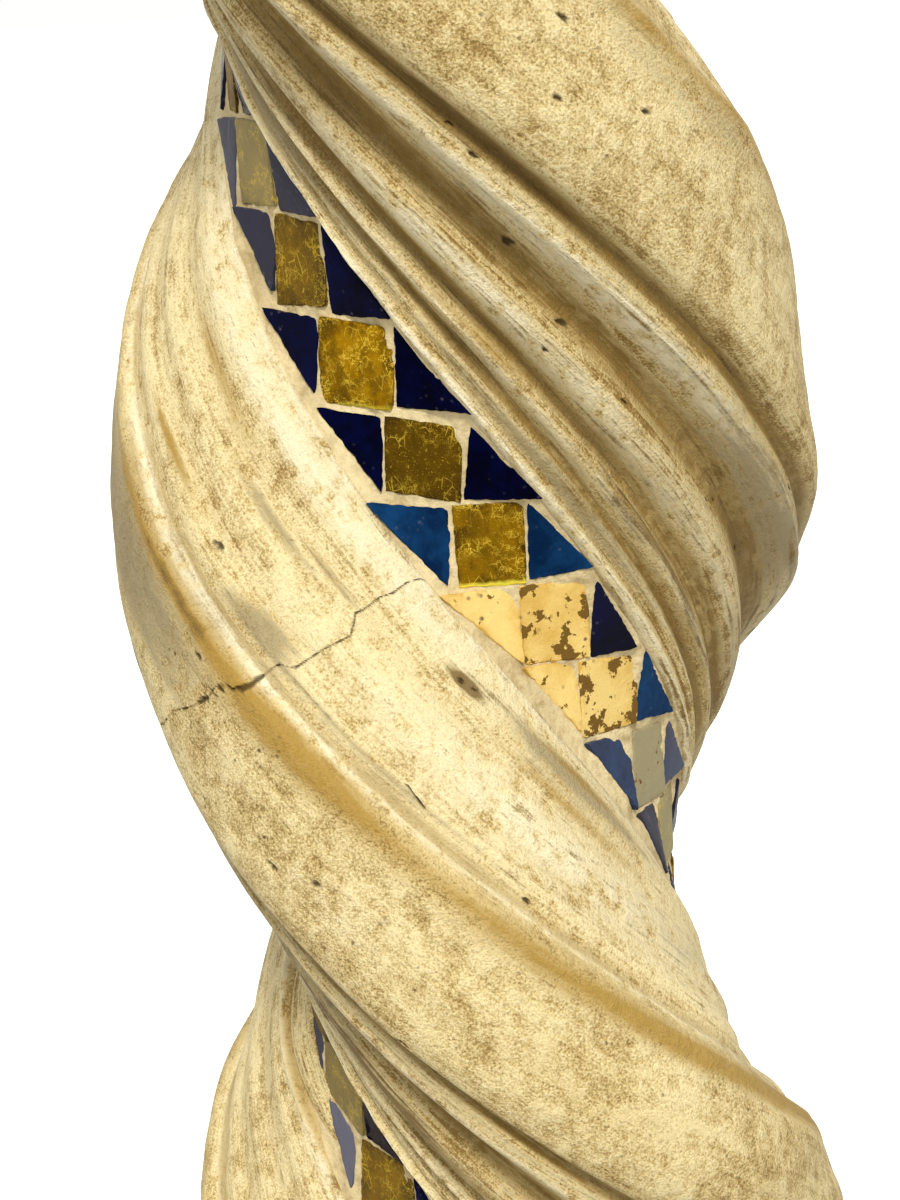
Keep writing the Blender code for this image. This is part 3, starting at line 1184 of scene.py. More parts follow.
@dataclass
class Shaft:
    """The marble shaft: collars, necks, both strands, both recesses and its damage."""

    twist: Twist
    section: Section
    height: float = 1.0
    collar_profile: tuple[tuple[float, float], ...] = (
        (0.0, 0.0788), (0.0014, 0.0800), (0.0226, 0.0800),
        (0.0240, 0.0789), (0.0280, 0.0720), (0.0340, 0.0720),
    )
    collar_rings: tuple[float, ...] = (
        0.0, 0.0006, 0.0014, 0.006, 0.012, 0.018, 0.0226, 0.0233, 0.0240, 0.0253, 0.0267, 0.0280, 0.031, 0.034,
    )
    neck_top: float = 0.034
    neck_radius: float = 0.072
    blend: float = 0.050
    recess_start: float = 0.084
    recess_depth: float = 0.004
    recess_run: float = 0.001
    middle: tuple[float, float] = (0.352, 0.652)
    middle_step: float = 0.0019
    outer_step: float = 0.0080
    least_step: float = 0.00045
    flat_scale: float = 0.07
    stretches: tuple[tuple[float, int], ...] = ((74.0, 60), (112.0, 24), (121.0, 18))
    last_stretch: int = 38
    recess_columns: int = 17
    refinements: tuple[tuple[float, float | None], ...] = (
        (0.0042, 0.0014), (0.0021, 0.0006), (0.0010, None),
    )
    arris: float = radians(116.0)
    arris_width: float = radians(1.6)
    arris_wear: Unevenness = Unevenness(34, 60, 260, 0.0004)
    free_from_band: float = radians(7.0)
    wander: tuple[Unevenness, Unevenness] = (
        Unevenness(11, 10, 22, radians(1.1)), Unevenness(12, 26, 70, radians(0.35)),
    )
    waves: tuple[Unevenness, ...] = (
        Unevenness(21, 14, 24, 0.0006), Unevenness(22, 46, 60, 0.0003), Unevenness(23, 150, 150, 0.00012),
    )
    skin: Unevenness = Unevenness(24, 260, 420, 0.00007)
    lip_width: float = radians(3.4)
    lip_wear: Unevenness = Unevenness(31, 190, 300, 0.00035)
    lip_breaks: Unevenness = Unevenness(32, 40, 120, 0.0018)
    far_lip_width: float = radians(2.0)
    far_lip_breaks: Unevenness = Unevenness(33, 40, 160, 0.0016)
    collar_wear: Unevenness = Unevenness(41, 30, 200, 0.0002)
    collar_chips: Unevenness = Unevenness(42, 44, 260, 0.0022)
    collar_edges: tuple[tuple[float, float], tuple[float, float]] = ((0.001, 0.0035), (0.0232, 0.003))
    patches: Unevenness = Unevenness(61, 18, 40)
    grey_patches: Unevenness = Unevenness(62, 22, 30, 0.7)
    hollow_reach: float = radians(5.0)
    hollow_depth: float = 0.0022
    fold_reach: float = radians(2.2)
    fold_depth: float = 0.0007
    ridge_height: float = 0.0008
    fold_end: float = radians(72.0)
    clean_end: float = 0.030
    clean_blend: float = 0.040
    swells: tuple[Patch, ...] = (
        Patch(-82.0, 0.372, 26.0, 0.028, 0.0045),
        Patch(-38.0, 0.397, 12.0, 0.014, -0.0025),
        Patch(-154.0, 0.420, 12.0, 0.016, 0.0016),
        Patch(72.0, 0.510, 14.0, 0.020, 0.0018),
        Patch(114.0, 0.376, 12.0, 0.014, -0.0066),
        Patch(-52.0, 0.379, 12.0, 0.012, -0.0066),
        Patch(-80.0, 0.332, 14.0, 0.014, 0.0045),
        Patch(68.0, 0.484, 9.0, 0.016, 0.0035),
        Patch(136.0, 0.622, 8.0, 0.009, -0.0058),
        Patch(119.0, 0.596, 8.0, 0.009, 0.0030),
        Patch(96.0, 0.545, 22.0, 0.035, -0.0016),
        Patch(-50.0, 0.597, 22.0, 0.018, -0.0033),
        Patch(-66.0, 0.555, 10.0, 0.030, -0.0016),
        Patch(-101.0, 0.474, 12.0, 0.020, -0.0012),
        Patch(24.0, 0.425, 6.0, 0.010, -0.0036),
        Patch(164.0, 0.381, 8.0, 0.022, 0.0080),
        Patch(150.0, 0.6235, 7.0, 0.0055, -0.0042),
    )
    pits: tuple[Pit, ...] = (
        Pit(102.8, 0.6183, 0.0009, 0.0008), Pit(99.1, 0.6002, 0.0008, 0.0009),
        Pit(69.6, 0.5947, 0.0008, 0.0008), Pit(71.6, 0.6008, 0.0006, 0.0007),
        Pit(89.0, 0.6042, 0.0007, 0.0008), Pit(-68.8, 0.4943, 0.0008, 0.0008),
        Pit(48.1, 0.5550, 0.0006, 0.0007), Pit(52.9, 0.5425, 0.0006, 0.0007),
        Pit(54.5, 0.5166, 0.0006, 0.0007), Pit(57.2, 0.5155, 0.0006, 0.0007),
        Pit(69.1, 0.5150, 0.0009, 0.0008), Pit(58.3, 0.5008, 0.0008, 0.0009),
        Pit(-90.9, 0.4521, 0.0009, 0.0008), Pit(-85.3, 0.4498, 0.0007, 0.0008),
        Pit(-59.1, 0.4424, 0.0007, 0.0008), Pit(-104.0, 0.4147, 0.0009, 0.0009),
        Pit(60.8, 0.5771, 0.0011, 0.0008), Pit(55.9, 0.5600, 0.0011, 0.0008),
        Pit(-31.1, 0.4860, 0.0008, 0.0004), Pit(-30.2, 0.4838, 0.0006, 0.0004),
        Pit(-53.0, 0.5155, 0.0009, 0.0008), Pit(-75.4, 0.4852, 0.0007, 0.0008),
        Pit(-71.9, 0.4868, 0.0006, 0.0008), Pit(-69.0, 0.4884, 0.0008, 0.0009),
    )
    crack: tuple[tuple[float, float], ...] = (
        (-101.0, 0.4740), (-95.5, 0.4759), (-88.4, 0.4801), (-81.8, 0.4823), (-78.0, 0.4839), (-74.7, 0.4856),
        (-72.9, 0.4865), (-70.1, 0.4885), (-68.0, 0.4890), (-65.9, 0.4887), (-64.5, 0.4889), (-61.7, 0.4906),
        (-59.1, 0.4921), (-56.9, 0.4930), (-55.2, 0.4922), (-52.4, 0.4936), (-49.1, 0.4952), (-45.0, 0.4967),
        (-42.9, 0.4974), (-39.5, 0.5014), (-37.7, 0.5019), (-32.5, 0.5042), (-29.4, 0.5048), (-25.2, 0.5064),
        (-22.2, 0.5067), (-21.0, 0.5053), (-19.8, 0.5027),
    )
    slash: tuple[tuple[float, float], ...] = ((-55.9, 0.4684), (-56.5, 0.4661), (-57.2, 0.4636))
    crack_half_width: float = 0.00009
    crack_depth: float = 0.0009
    crack_wander: Unevenness = Unevenness(52, 420, 640)
    crack_pocket: Patch = Patch(-70.0, 0.4875, 9.0, 0.006, 9.0)
    slash_half_width: float = 0.00018
    pit_reach: float = 1.6

    def columns(self) -> np.ndarray:
        """Angles of the grid's columns, from the middle of groove A all the way round.

        Returns:
            Angles in radians.
        """
        edge, share = self.section.edge, self.section.wall_share
        inner = edge - share
        beside = np.array([inner - radians(1.0), edge - share / 2])
        parts = [beside, np.linspace(-inner, inner, self.recess_columns)]
        start = edge
        for stop, count in self.stretches:
            parts.append(np.linspace(start, radians(stop), count, endpoint=False))
            start = radians(stop)
        parts += [np.linspace(start, pi - edge, self.last_stretch), np.array([pi - edge + share / 2])]
        half = np.concatenate(parts)
        both = np.unique(np.round(np.concatenate([half, half + pi]) % (2 * pi), 9))
        return np.concatenate([both, [2 * pi]])

    def rings(self) -> np.ndarray:
        """Heights of the grid's rings.

        Returns:
            Heights in metres.
        """
        low = np.array(self.collar_rings)
        start, end = self.middle
        lower = np.arange(self.neck_top + 0.005, start, self.outer_step)
        centre = np.arange(start, end, self.middle_step)
        upper = np.arange(end, self.height - self.neck_top - 0.003, self.outer_step)
        marks = np.array([self.recess_start, self.recess_start + self.recess_run])
        every = np.concatenate([low, lower, centre, upper, marks, self.height - low, self.height - marks])
        every = np.unique(np.round(every, 6))
        keep = np.concatenate([[True], np.diff(every) > self.least_step])
        keep[-1] = True
        return every[keep]

    def _flat_place(self, angle: float, height: float) -> tuple[float, float]:
        """Place on the flat grid of an angle in degrees and a height."""
        return (radians(angle) % (2 * pi)) * self.flat_scale, height

    def _away(self, flat: np.ndarray, route: tuple[tuple[float, float], ...]) -> np.ndarray:
        """Distance of flat points from a route.

        Args:
            flat: Points of the flat grid.
            route: Corners of the route as degrees and metres.

        Returns:
            Distances in metres.
        """
        line = np.array([self._flat_place(angle, height) for angle, height in route])
        best = np.full(len(flat), 1.0)
        for start, end in zip(line[:-1], line[1:]):
            way = end - start
            share = np.clip(((flat - start) @ way) / (way @ way), 0.0, 1.0)
            gap = flat - (start + share[:, None] * way)
            best = np.minimum(best, np.hypot(gap[:, 0], gap[:, 1]))
        return best

    def _refine(self, shape: bmesh.types.BMesh) -> None:
        """Makes the flat grid finer round the crack and the pits.

        Args:
            shape: The flat grid.
        """
        for crack_reach, pit_reach in self.refinements:
            shape.faces.ensure_lookup_table()
            centres = np.array([face.calc_center_median()[:2] for face in shape.faces])
            chosen = self._away(centres, self.crack) < crack_reach
            chosen |= self._away(centres, self.slash) < crack_reach
            if pit_reach is not None:
                for pit in self.pits:
                    place = self._flat_place(pit.angle, pit.height)
                    chosen |= np.hypot(*(centres - place).T) < pit.radius + pit_reach
            edges = {edge for index in np.flatnonzero(chosen) for edge in shape.faces[index].edges}
            bmesh.ops.subdivide_edges(shape, edges=list(edges), cuts=1, use_grid_fill=True)

    def _flat_mesh(self) -> bpy.types.Mesh:
        """Makes the grid flat: x runs round the shaft and y up it.

        Returns:
            The flat mesh.
        """
        columns, rings = self.columns(), self.rings()
        across, upward = len(columns), len(rings)
        x, y = np.meshgrid(columns * self.flat_scale, rings)
        points = np.stack([x.ravel(), y.ravel(), np.zeros(x.size)], axis=1)
        first = (np.arange(upward - 1)[:, None] * across + np.arange(across - 1)[None, :]).ravel()
        quads = np.stack([first, first + 1, first + 1 + across, first + across], axis=1)
        mesh = bpy.data.meshes.new("shaft_grid")
        mesh.from_pydata(points.tolist(), [], quads.tolist())
        shape = bmesh.new()
        shape.from_mesh(mesh)
        self._refine(shape)
        shape.to_mesh(mesh)
        shape.free()
        return mesh

    def _carved(self, angle: np.ndarray, height: np.ndarray) -> np.ndarray:
        """Radius of the carving with its slow unevenness.

        Args:
            angle: Angles from band A's middle.
            height: Heights.

        Returns:
            Radii.
        """
        edge = self.section.edge
        turned = (angle + edge) % pi - edge
        carved = turned >= edge
        from_band = np.minimum(np.abs(turned - edge), np.abs(pi - edge - turned))
        free = eased(from_band / self.free_from_band) * carved
        wander = sum(field.at(angle, height) for field in self.wander)
        end = np.minimum(height, self.height - height)
        recess = self.recess_depth * np.clip((end - self.recess_start) / self.recess_run, 0.0, 1.0)
        radius = self.section.radius(angle + wander * free, recess)
        radius += free * sum(field.at(angle, height) for field in self.waves)
        radius += (turned > edge) * self.skin.at(angle, height)
        lip = bell(turned, edge, self.lip_width) * carved
        radius += lip * (self.lip_wear.at(angle, height) - self.lip_breaks.above(0.25, angle, height))
        far_lip = bell(turned, pi - edge, self.far_lip_width) * carved
        radius -= far_lip * self.far_lip_breaks.above(0.45, angle, height)
        radius += bell(turned, self.arris, self.arris_width) * self.arris_wear.at(angle, height)
        for swell in self.swells:
            radius += swell.at(angle, height)
        return radius

    def _radius(self, angle: np.ndarray, height: np.ndarray) -> np.ndarray:
        """Radius of the whole shaft: the carving, eased into the necks, and the collars.

        Args:
            angle: Angles from band A's middle.
            height: Heights.

        Returns:
            Radii.
        """
        end = np.minimum(height, self.height - height)
        share = eased((end - self.neck_top) / self.blend)
        radius = self.neck_radius + (self._carved(angle, height) - self.neck_radius) * share
        stops, sizes = np.array(self.collar_profile).T
        collar = np.interp(end, stops, sizes)
        rim = sum(bell(end, middle, width) for middle, width in self.collar_edges)
        collar = collar - np.abs(self.collar_wear.at(angle, height))
        collar = collar - self.collar_chips.above(0.55, angle, height) * rim
        return np.where(end <= self.neck_top, collar, radius)

    def _damage(self, flat: np.ndarray) -> tuple[np.ndarray, np.ndarray]:
        """Depth of the crack and the pits, and how dark they are.

        Args:
            flat: Points of the flat grid.

        Returns:
            Depths in metres and shares of darkness.
        """
        depth = np.zeros(len(flat))
        dark = np.zeros(len(flat))
        angle, height = flat[:, 0] / self.flat_scale, flat[:, 1]
        wide = np.clip(self.crack_wander.at(angle, height), -0.4, 1.0)
        pockets = self.crack_pocket.at(angle, height) * np.clip(wide + 0.15, 0.0, 1.0)
        for route, width in ((self.crack, self.crack_half_width), (self.slash, self.slash_half_width)):
            width = width * (1.0 + 0.6 * wide + pockets)
            away = self._away(flat, route)
            cleft = np.clip(1.35 - away / width, 0.0, 1.0)
            depth = np.maximum(depth, cleft * self.crack_depth)
            dark = np.maximum(dark, np.clip(1.4 - away / width, 0.0, 0.85))
        rough = np.random.default_rng(51)
        for pit in self.pits:
            gap = (flat - self._flat_place(pit.angle, pit.height)) / pit.radius
            away = np.hypot(*gap.T)
            near = away < self.pit_reach
            turn = np.arctan2(gap[near, 1], gap[near, 0])
            phase = rough.uniform(0, 2 * pi, 3)
            ragged = 1 + 0.22 * np.sin(2 * turn + phase[0]) + 0.16 * np.sin(3 * turn + phase[1])
            share = np.clip(1.0 - (away[near] / ragged) ** 2, 0.0, 1.0)
            depth[near] = np.maximum(depth[near], share * pit.depth)
            dark[near] = np.maximum(dark[near], np.clip(share * 2.4, 0.0, 0.90))
        return depth, dark

    def _marks(self, angle: np.ndarray, height: np.ndarray) -> dict[Mark, np.ndarray]:
        """Works out the weathering, the painted shade in the hollows and the painted highlights on ridges and
        arris.

        Args:
            angle: Angles from band A's middle.
            height: Heights.

        Returns:
            A share for each kind and vertex.
        """
        edge = self.section.edge
        turned = (angle + edge) % pi - edge
        deep = self.section.hollows(angle, self.hollow_reach)
        fine = self.section.hollows(angle, self.fold_reach)
        patches = 0.5 + 0.5 * self.patches.at(angle, height)
        marks = {line.mark: line.at(turned, patches) for line in LINES}
        # Grime and painted shade in the hollows: darker the deeper a point lies below the carving around it.
        marks[Mark.HOLLOW] = (
            0.62 * np.clip(deep / self.hollow_depth, 0.0, 1.0)
            + np.where(turned < radians(41.0), 0.34, 0.66) * np.clip(fine / self.fold_depth, 0.0, 1.0)
        ) * np.where(turned > radians(118.0), 0.45, 1.0)
        # Greyish stains in patches, and painted shade over the flank between each band's edge and the deep
        # hollow at 71 to 75 degrees.
        marks[Mark.GREY] = (
            self.grey_patches.above(0.35, angle, height)
            + 0.26 * rising(turned, edge, edge + radians(6.0)) * rising(turned, radians(75.0), radians(71.0))
        )
        # Pale lips along each band's edges, and painted highlights on the flank past the arris and along the
        # ridges of the folds.
        marks[Mark.PALE] += (
            0.75 * bell(turned, edge, radians(1.6))
            + 0.60 * bell(turned, pi - edge, radians(2.0))
            + 0.30 * rising(turned, radians(117.0), radians(119.0))
            + 0.60 * np.clip(-fine / self.ridge_height, 0.0, 1.0) * (turned < self.fold_end)
        )
        marks[Mark.FOLDS] = (
            0.25
            + 0.75 * rising(turned, radians(80.0), self.fold_end)
            + 0.30 * rising(turned, radians(115.0), radians(119.0))
        )
        plain = eased((np.minimum(height, self.height - height) - self.clean_end) / self.clean_blend)
        for mark in (Mark.HOLLOW, Mark.OCHRE, Mark.DIRT, Mark.PALE, Mark.FOLDS):
            marks[mark] = marks[mark] * plain
        for mark, stains in STAINS.items():
            marks[mark] = marks[mark] + sum(stain.at(angle, height) for stain in stains)
        return {mark: np.clip(values, 0.0, 1.0) for mark, values in marks.items()}

    def _close(self, mesh: bpy.types.Mesh) -> None:
        """Joins the seam and closes both ends.

        Args:
            mesh: The shaft's open mesh.
        """
        shape = bmesh.new()
        shape.from_mesh(mesh)
        bmesh.ops.remove_doubles(shape, verts=shape.verts, dist=1e-7)
        rims = [edge for edge in shape.edges if edge.is_boundary]
        bmesh.ops.holes_fill(shape, edges=rims, sides=0)
        for edge in rims:
            edge.smooth = False
        bmesh.ops.recalc_face_normals(shape, faces=shape.faces)
        shape.to_mesh(mesh)
        shape.free()

    def build(self, tree: bpy.types.GeometryNodeTree, finish: bpy.types.Material) -> bpy.types.Object:
        """Builds the shaft.

        Args:
            tree: The twist tree.
            finish: The marble.

        Returns:
            The finished piece.
        """
        mesh = self._flat_mesh()
        flat = np.empty(len(mesh.vertices) * 3)
        mesh.vertices.foreach_get("co", flat)
        flat = flat.reshape(-1, 3)[:, :2]
        angle, height = flat[:, 0] / self.flat_scale, flat[:, 1]
        depth, dark = self._damage(flat)
        radius = self._radius(angle, height) - depth
        points = np.stack([radius * np.cos(angle), radius * np.sin(angle), height], axis=1)
        mesh.vertices.foreach_set("co", points.ravel())
        for mark, values in self._marks(angle, height).items():
            set_attribute(mesh, mark.value, values)
        set_attribute(mesh, Mark.CRACK.value, dark)
        set_flow(mesh, flat)
        self._close(mesh)
        mesh.shade_smooth()
        made = place_mesh("marble_shaft", mesh)
        grow(made, tree, {**self.twist.inputs(Groove.A), "Finish": finish})
        made.data.set_sharp_from_angle(angle=radians(58.0))
        return settle(made, Slot.MARBLE, "shaft")


@dataclass(frozen=True)
class TileRow:
    """Sizes of a row of tiles, and the plane of each tile."""

    twist: Twist
    section: Section
    pitch: float = 0.0198
    tile_height: float = 0.0176
    square_width: float = 0.0145
    joint: float = 0.0017
    border: float = 0.0016
    mid_lift: float = 0.0118
    lowest: int = -20
    highest: int = 19
    mid_number: int = 21

    def height(self, count: int) -> float:
        """Height of a row's middle."""
        return self.twist.mid_height + self.mid_lift + count * self.pitch

    def outlines(self) -> dict[Place, Outline]:
        """Outlines of a plain row's three tiles, x level along the band and y up.

        Returns:
            Corners in metres, by place.
        """
        half = self.tile_height / 2
        side = self.square_width / 2
        inner = side + self.joint
        distance = self.section.band_distance
        outer = self.section.half_band - self.border - self.twist.slope() * distance * half
        left = ((-outer, half), (-inner, -half), (-inner, half))
        square = ((-side, -half), (side, -half), (side, half), (-side, half))
        right = tuple((-x, -y) for x, y in left)
        return {Place.LEFT: left, Place.SQUARE: square, Place.RIGHT: right}

    def middle(self, place: Place) -> tuple[float, float]:
        """Mean of a plain tile's corners."""
        corners = self.outlines()[place]
        return sum(x for x, _ in corners) / len(corners), sum(y for _, y in corners) / len(corners)

    def plane(self, azimuth: float, across: float, up: float) -> Matrix:
        """Placement of a tile on the band, for a row whose middle has this azimuth and height 0.

        Args:
            azimuth: Azimuth of the row's middle.
            across: Level distance of the tile's middle from the row's.
            up: Height of the tile's middle over the row's.

        Returns:
            A placement with x level, y up the face and z out of the stone.
        """
        turned = self.twist.slope() * up
        distance = self.section.band_distance
        offset = (across - distance * sin(turned)) / cos(turned)
        angle = azimuth + turned
        level = Vector((-sin(angle), cos(angle), 0.0))
        outward = Vector((cos(angle), sin(angle), 0.0))
        facing = Vector((cos(angle), sin(angle), self.twist.slope() * offset)).normalized()
        frame = Matrix((level, facing.cross(level), facing)).transposed().to_4x4()
        frame.translation = outward * distance + level * offset + Vector((0.0, 0.0, up))
        return frame

    def frame(self, groove: Groove, count: int, place: Place, lift: float = 0.0) -> Matrix:
        """Placement of one tile of the column.

        Args:
            groove: Its band.
            count: Its row.
            place: Its place in the row.
            lift: How far its row sits over the row's usual height.

        Returns:
            The placement.
        """
        height = self.height(count) + lift
        rise = Matrix.Translation((0.0, 0.0, height))
        return rise @ self.plane(self.twist.azimuth(groove, height), *self.middle(place))


@dataclass(frozen=True)
class TileShape:
    """Makes one tile's mesh from its outline, with a broken edge and a slightly uneven face."""

    thickness: float = 0.0032
    bevel: float = 0.00032
    step: float = 0.0011
    chip: float = 0.00030
    sink: float = 0.00015
    spread: float = 0.00030
    taper: float = 0.985
    near_share: float = 0.10
    flat_share: float = 0.45
    tilt: float = 0.012
    unevenness: float = 0.00012
    glow_height: float = 0.0008
    rims: tuple[float, ...] = (1.0, 1.0, 0.9, 0.5, 0.1)

    def _edge(self, corners: Outline, rng: np.random.Generator, step: float) -> np.ndarray:
        """Walks round the outline and breaks it up.

        Args:
            corners: The outline's corners.
            rng: Source of the irregularities.
            step: Length of a part of the edge.

        Returns:
            Points counterclockwise.
        """
        loop = np.array(corners)
        area = np.sum(loop[:, 0] * np.roll(loop[:, 1], -1) - np.roll(loop[:, 0], -1) * loop[:, 1])
        if area < 0:
            loop = loop[::-1]
        centre = loop.mean(axis=0)
        points = []
        for start, end in zip(loop, np.roll(loop, -1, axis=0)):
            way = end - start
            length = float(np.hypot(*way))
            inward = np.array([-way[1], way[0]]) / max(length, 1e-9)
            parts = max(2, int(round(length / step)))
            bow = rng.uniform(-0.25, 0.35) * self.chip
            for part in range(parts):
                share = part / parts
                dent = rng.uniform(0.0, 1.0) ** 3 * self.chip + bow * sin(pi * share)
                if part == 0:
                    blunt = start + (centre - start) * rng.uniform(0.005, 0.03)
                    points.append(blunt + (start - centre) / np.hypot(*(start - centre)) * self.spread)
                    continue
                points.append(start + way * share + inward * (dent - self.spread))
        return np.array(points)

    def mesh(self, name: str, corners: Outline, seed: int, tone: float, step: float | None = None,
             edge_glow: float = 0.0, dust: float = 0.0) -> bpy.types.Mesh:
        """Makes the tile: closed, with a small bevel round its face.

        Args:
            name: The mesh's name.
            corners: The outline in the tile's own plane, in metres.
            seed: Seed of its irregularities.
            tone: Shade of its colour, from 0 to 1.
            step: Length of a part of the edge, or None for the usual one.
            edge_glow: How bright the painted highlight on its lower edge is.
            dust: How dusty its face is.

        Returns:
            The mesh.
        """
        rng = np.random.default_rng(seed)
        outer = self._edge(corners, rng, step or self.step)
        centre = outer.mean(axis=0)
        reach = np.hypot(*(outer - centre).T)[:, None]
        inner = outer + (centre - outer) / reach * self.bevel * rng.uniform(0.6, 1.9, (len(outer), 1))
        near = inner + (centre - inner) * self.near_share
        flat = inner + (centre - inner) * self.flat_share
        tilt = rng.uniform(-self.tilt, self.tilt, 2)
        low = np.full(len(outer), -self.thickness)
        side = rng.uniform(-1.6, -0.7, len(outer)) * self.bevel
        top = (inner - centre) @ tilt - self.sink * rng.uniform(0.0, 1.0, len(outer))
        raised = (flat - centre) @ tilt + rng.uniform(0.0, self.unevenness, len(outer))
        between = 0.8 * top + 0.2 * raised
        layers = ((outer * self.taper, low), (outer, side), (inner, top), (near, between), (flat, raised))
        shape = bmesh.new()
        names = ("tone", "dust", "edge", "rim")
        layers_by_name = {title: shape.verts.layers.float.new(title) for title in names}
        lowest = inner[:, 1].min()
        rows = []
        for place, (points, heights) in enumerate(layers):
            row = []
            for (x, y), z in zip(points, heights):
                vert = shape.verts.new((x, y, z))
                # The edge mark holds a painted highlight along the tile's lower edge.
                glow = edge_glow if place in (1, 2) and y < lowest + self.glow_height else 0.0
                for title, value in zip(names, (tone, dust, glow, self.rims[place])):
                    vert[layers_by_name[title]] = value
                row.append(vert)
            rows.append(row)
        hub = shape.verts.new((*centre, 0.0))
        for title, value in zip(names, (tone, dust, 0.0, 0.0)):
            hub[layers_by_name[title]] = value
        count = len(outer)
        for below, above in zip(rows, rows[1:]):
            for first in range(count):
                second = (first + 1) % count
                shape.faces.new((below[first], below[second], above[second], above[first]))
        for first in range(count):
            shape.faces.new((rows[-1][first], rows[-1][(first + 1) % count], hub))
        shape.faces.new(list(reversed(rows[0])))
        mesh = bpy.data.meshes.new(name)
        shape.to_mesh(mesh)
        shape.free()
        mesh.shade_smooth()
        mesh.set_sharp_from_angle(angle=radians(24.0))
        return mesh


@dataclass(frozen=True)
class SeenTile:
    """A tile as it really is: finish, corners in millimetres from its row's middle, tone of its colour,
    painted highlight on its lower edge, dust and lift.
    """

    slot: Slot
    corners: Outline
    tone: float = 0.3
    # Strength of the painted highlight along the tile's lower edge.
    glow: float = 0.0
    dust: float = 0.0
    lift: float = 0.0


